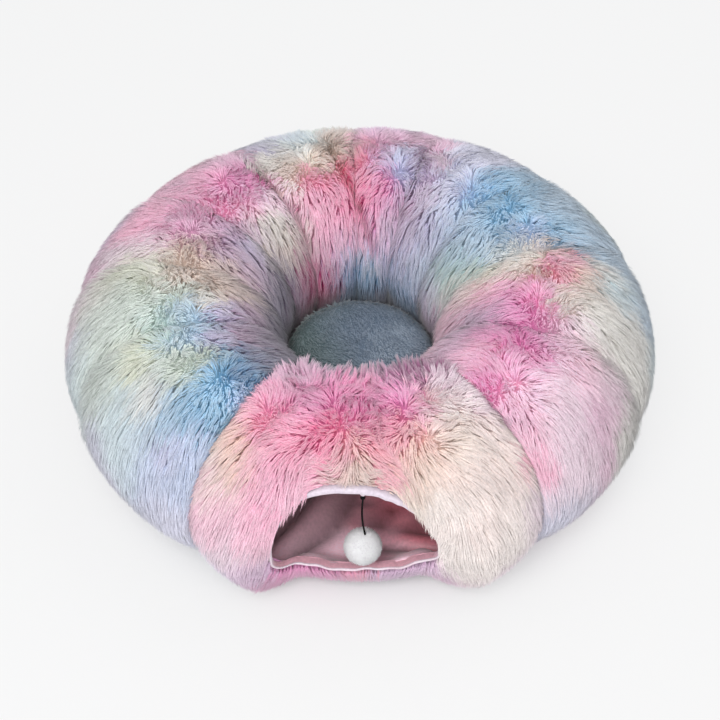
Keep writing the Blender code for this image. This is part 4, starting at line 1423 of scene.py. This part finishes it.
class PLUSHTUNNEL_OT_binding(Operator):
    """Satin binding round the entrance, puckered along its stitches"""

    bl_idname = "plush_tunnel.binding"
    bl_label = "Entrance binding"

    def execute(self, context):
        trim = context.scene.plush_tunnel.trim
        start, end, front = next(lobe for lobe in lobes() if lobe[2])
        count, sides = 240, 16
        x, z = entrance_outline(BINDING_WIDTH / 2, count)

        def front_y(depth):
            """How far back the front lobe lies behind each point of the entrance's outline."""
            surface = lobe_surface(start, end, front, depth)
            bm = sheet_over(surface, crowded_shares(97), np.linspace(-1.6, 1.6, 60), closed_v=False)
            tree = BVHTree.FromBMesh(bm)
            bm.free()
            hits = [tree.ray_cast(Vector((a, -0.6, b)), Vector((0, 1, 0)))[0] for a, b in zip(x, z)]
            if None in hits:
                raise RuntimeError("the binding doesn't meet the front lobe")
            return np.array([hit.y for hit in hits])

        near, far = front_y(0.005), front_y(0.0175)
        beyond = np.stack(entrance_outline(BINDING_WIDTH / 2 + 0.001, count), axis=1)
        out = unit(beyond - np.stack([x, z], axis=1))
        draw = np.random.default_rng(51)
        knots = draw.uniform(-1, 1, count // 3)
        pucker = np.interp(np.arange(count), np.arange(0, count + 3, 3), np.append(knots, knots[0]))
        sill = 1 - smooth_step(ENTRANCE_SILL_HEIGHT + 0.004, ENTRANCE_SILL_HEIGHT + 0.03, z)
        top = smooth_step(ENTRANCE_MID_HEIGHT, ENTRANCE_TOP - 0.01, z)
        wave = sill * (0.0017 * np.sin(x * 88 + 0.6) + 0.0012 * np.sin(x * 205))

        def laid(i, aside, back):
            return np.stack([x[i] + out[i, 0] * aside, back, z[i] + out[i, 1] * aside + wave[i]], axis=-1)

        def band(turn, section):
            i = np.rint(turn).astype(int) % count
            across, up = np.cos(section), np.sin(section)
            aside = 0.5 * BINDING_WIDTH * np.sign(across) * np.abs(across) ** 0.6 * (1 + 0.1 * pucker[i])
            aside = np.where(aside > 0, aside * (1 + 0.9 * top[i]), aside * (1 - 0.45 * sill[i]))
            inner = np.where(aside < 0, np.clip(0.5 - up, 0, 1), 0.0)
            aside = aside + sill[i] * inner * (0.0014 + 0.0013 * pucker[i])
            half = (far[i] - near[i]) / 2
            back = (near[i] + far[i]) / 2 - half * np.sign(up) * np.abs(up) ** 0.75
            back = back - np.where(up > 0, (0.0014 + 0.001 * pucker[i]) * top[i], 0.0)
            return laid(i, aside, back)

        def piping(turn, section):
            i = np.rint(turn).astype(int) % count
            thick = 0.0017 + 0.0002 * pucker[i] - 0.0004 * top[i]
            aside = np.cos(section) * thick - 0.0012
            back = near[i] + 0.0002 + 0.0006 * top[i] - np.sin(section) * thick
            return laid(i, aside, back)

        around = np.linspace(-math.pi, math.pi, sides + 1)
        for name, surface, cloth in (
            ("satin_binding", band, "turned_cloth"),
            ("satin_piping", piping, "binding_cloth"),
        ):
            bm = sheet_over(surface, np.arange(count + 1.0), around, closed_u=True)
            low = smooth_step(0.0, 0.03, ENTRANCE_MID_HEIGHT - places_of(bm)[:, 2:])
            piece = finished(bm, name, cloth, "entrance_binding")
            coloured(piece.data, "satin_tint", blended(trim.turned_white, trim.sill_pink, low))
        return {"FINISHED"}


class PLUSHTUNNEL_OT_hoops(Operator):
    """Sprung wire hoops and the woven tapes that hold them"""

    bl_idname = "plush_tunnel.hoops"
    bl_label = "Hoops and tapes"

    def execute(self, context):
        steel = context.scene.plush_tunnel.trim.steel_grey
        tree, shader = material("sprung_steel", 0.34, Metallic=1.0)
        drawn = noise(tree, object_place(tree), 900.0, 4.0, Roughness=0.7)
        shade = mixed(tree, drawn, rgba(steel), rgba(steel, 1.5))
        plug(tree, shader, {"Base Color": shade, "Roughness": ramped(tree, drawn, 0.26, 0.44)})
        width = np.linspace(-TAPE_WIDTH / 2, TAPE_WIDTH / 2, 7)
        for index, angle in enumerate(SEAM_ANGLES_DEG[:-1], start=1):
            for place in frame["nodes"][f"hoop_{index:02d}"].material_slots:
                place.link = "OBJECT"
                place.material = bpy.data.materials["sprung_steel"]
            turn = math.radians(angle)

            def surface(along, phi):
                flat = tube_points(np.full(len(phi), turn), phi, TAPE_DEPTH + 0.0003, np.ones(len(phi)))
                aside = np.array([-math.sin(turn), math.cos(turn), 0.0])
                return flat + along[:, None] * aside

            bm = sheet_over(surface, width, np.linspace(-math.pi, math.pi, 65))
            node = f"casing_tape_{index:02d}"
            tape = finished(bm, f"woven_tape_{index:02d}", "tape_cloth", node)
            thickened(tape, TAPE_THICKNESS, 0.0)
        return {"FINISHED"}


def mat_profile(count, inset=0.0):
    """Radius and height from the middle of the mat's top, over its rim and down to the floor."""
    angle = np.radians(np.interp(np.linspace(0, 1, count), [0, 0.5, 1], [90, 22, -62]))
    across = np.abs(np.cos(angle)) ** MAT_CROWN_SHARE
    up = np.sin(angle)
    middle = MAT_HEIGHT / 2
    half = middle - inset + np.where(up < 0, 0.006, 0.0)
    height = middle + half * np.sign(up) * np.abs(up) ** MAT_RIM_SHARE
    radius = (MAT_RADIUS - inset) * across
    radius[0] = 0.0
    return radius, np.maximum(height, inset)


class PLUSHTUNNEL_OT_mat(Operator):
    """Mat in the hole of the ring: short-pile top, fibre filling and base cloth"""

    bl_idname = "plush_tunnel.mat"
    bl_label = "Centre mat"
    root_depth = 0.0035
    base_radii = np.array([0.0, 0.03, 0.06, 0.08, 0.0845, 0.086, 0.0845, 0.08, 0.06, 0.03, 0.0])
    base_heights = np.array([2.7, 2.6, 2.6, 2.6, 2.3, 1.4, 0.5, 0.3, 0.3, 0.3, 0.3]) / 1000

    def execute(self, context):
        settings = context.scene.plush_tunnel
        radius, height = mat_profile(61, self.root_depth)
        steps = np.concatenate([[0], np.cumsum(np.hypot(np.diff(radius), np.diff(height)))])

        def surface(turn, along):
            out = np.interp(along, steps, radius)
            top = np.interp(along, steps, height)
            return np.stack([out * np.cos(turn), out * np.sin(turn), top], axis=-1)

        def centre(points):
            return np.zeros_like(points) + (0.0, 0.0, MAT_HEIGHT * 0.4)

        draw = np.random.default_rng(61)
        turns, ways_out = np.linspace(0, math.tau, 121), np.linspace(0, steps[-1], 61)
        turn, along = spread(surface, turns, ways_out, self.density, draw)
        inner = np.clip(along, 0.003, steps[-1] - 0.003)
        points, normals, _, outward = frames(surface, turn, inner, centre)
        points = surface(turn, along)
        flow = unit(np.array([0.35, -0.8, 0.0]) + 0.9 * outward * ripple(points, 0.08, 62)[:, None])
        flow -= part_along(flow, normals)
        lengths = settings.pile.mat_tuft_length * draw.uniform(0.7, 1.25, len(points))
        lean = 0.95 + 0.25 * ripple(points, 0.03, 63)
        led_by = strands(points, flow, draw, 5)
        locks = grown(points, normals, flow, lengths, lean, draw, led_by, 0.3, 0.1)
        for part in locks[1:]:
            part[:, 2] = np.maximum(part[:, 2], 0.001)

        def dyes(places):
            return self.shades(settings.trim, places)

        paint = np.clip(dyes(points) * (1 + 0.07 * draw.normal(size=(len(points), 1))), 0.01, 0.9)
        widths = settings.pile.mat_tuft_width * draw.uniform(0.7, 1.2, len(points))
        skin = sheet_over(surface, np.linspace(0, math.tau, 97), steps[::2], closed_u=True)
        bmesh.ops.solidify(skin, geom=skin.faces[:], thickness=0.0005)
        mesh = plush_mesh("mat_plush_top", locks, widths, normals, paint, skin, dyes)
        plush_material("mat_pile", 0.88, 0.1, 1.1, 0.35)
        top = finished(mesh, "mat_plush_top", "mat_pile", "mat_top_cover")
        names = "mat_fibre_pad", "fibre_fleece", "fibre_filling", "mat_filling"
        pad = self.turned(*mat_profile(25, 0.0055), *names, floor=0.0042, lump=0.0012)
        names = "mat_base_panel", "base_weave", "base_cloth", "mat_base_cloth"
        self.turned(self.base_radii, self.base_heights, *names, floor=0.0, lump=0.0002)
        return {"FINISHED"}

    def density(self, places):
        return np.where(places[..., 2] > 0.02, 250000.0, 80000.0)

    def shades(self, trim, places):
        """The mat's colour: greener on the left, with a silver painted highlight where its pile catches
        the light.
        """
        x, y = places[:, 0], places[:, 1]
        greener = smooth_step(0.01, -0.09, x + 0.03 * ripple(places, 0.08, 64))
        highlight = np.exp(-(((x - 0.05) / 0.042) ** 2) - ((y - 0.005) / 0.06) ** 2)
        highlight = 0.75 * highlight * smooth_step(-1.2, 0.8, ripple(places, 0.04, 65))
        base = blended(trim.mat_blue, trim.mat_green, greener[:, None])
        return blended(base, trim.mat_highlight, highlight[:, None])

    def turned(self, radius, height, name, cloth, slot, node, floor, lump):
        """A round piece, spun about the mat's middle, with lumps over its floor."""
        bm = bmesh.new()
        outline = [(float(a), max(float(b), floor)) for a, b in zip(radius, height)]
        if outline[-1][0] > 0:
            outline += [(outline[-1][0] * 0.6, outline[-1][1]), (0.0, outline[-1][1])]
        verts = [bm.verts.new((a, 0.0, b)) for a, b in outline]
        edges = [bm.edges.new(pair) for pair in zip(verts, verts[1:])]
        bmesh.ops.spin(bm, geom=verts + edges, axis=(0, 0, 1), angle=math.tau, steps=72, use_merge=True)
        bmesh.ops.remove_doubles(bm, verts=bm.verts, dist=1e-5)
        lay_uv(bm, lambda place: (place.x, place.y + place.z))
        for vert, rise in zip(bm.verts, lump * ripple(places_of(bm), 0.05, 66)):
            if vert.co.z > floor + 0.001:
                vert.co.z += rise - lump
        bmesh.ops.recalc_face_normals(bm, faces=bm.faces)
        return finished(bm, name, cloth, node)


OPERATORS = (
    PLUSHTUNNEL_OT_stage,
    PLUSHTUNNEL_OT_materials,
    PLUSHTUNNEL_OT_cord,
    PLUSHTUNNEL_OT_ball,
    PLUSHTUNNEL_OT_hoops,
    PLUSHTUNNEL_OT_lining,
    PLUSHTUNNEL_OT_binding,
    PLUSHTUNNEL_OT_mat,
    PLUSHTUNNEL_OT_lobes,
)


class PLUSHTUNNEL_PT_pieces(Panel):
    """Lists the pieces and their settings"""

    bl_label = "Plush Cat Tunnel"
    bl_idname = "PLUSHTUNNEL_PT_pieces"
    bl_space_type = "VIEW_3D"
    bl_region_type = "UI"
    bl_category = "Plush Tunnel"

    def draw(self, context):
        settings = context.scene.plush_tunnel
        for part in (settings.pile, settings.dyes, settings.trim):
            box = self.layout.box()
            for name in type(part).__annotations__:
                box.prop(part, name)
        for operator in OPERATORS:
            self.layout.operator(operator.bl_idname)


CLASSES = (TunnelDyes, PileSizes, TrimColours, PlushTunnel, *OPERATORS, PLUSHTUNNEL_PT_pieces)


def register():
    for cls in CLASSES:
        bpy.utils.register_class(cls)
    bpy.types.Scene.plush_tunnel = PointerProperty(type=PlushTunnel)


def unregister():
    del bpy.types.Scene.plush_tunnel
    for cls in reversed(CLASSES):
        bpy.utils.unregister_class(cls)


def main():
    register()
    for operator in OPERATORS:
        family, name = operator.bl_idname.split(".")
        getattr(getattr(bpy.ops, family), name)()


if __name__ == "__main__":
    main()
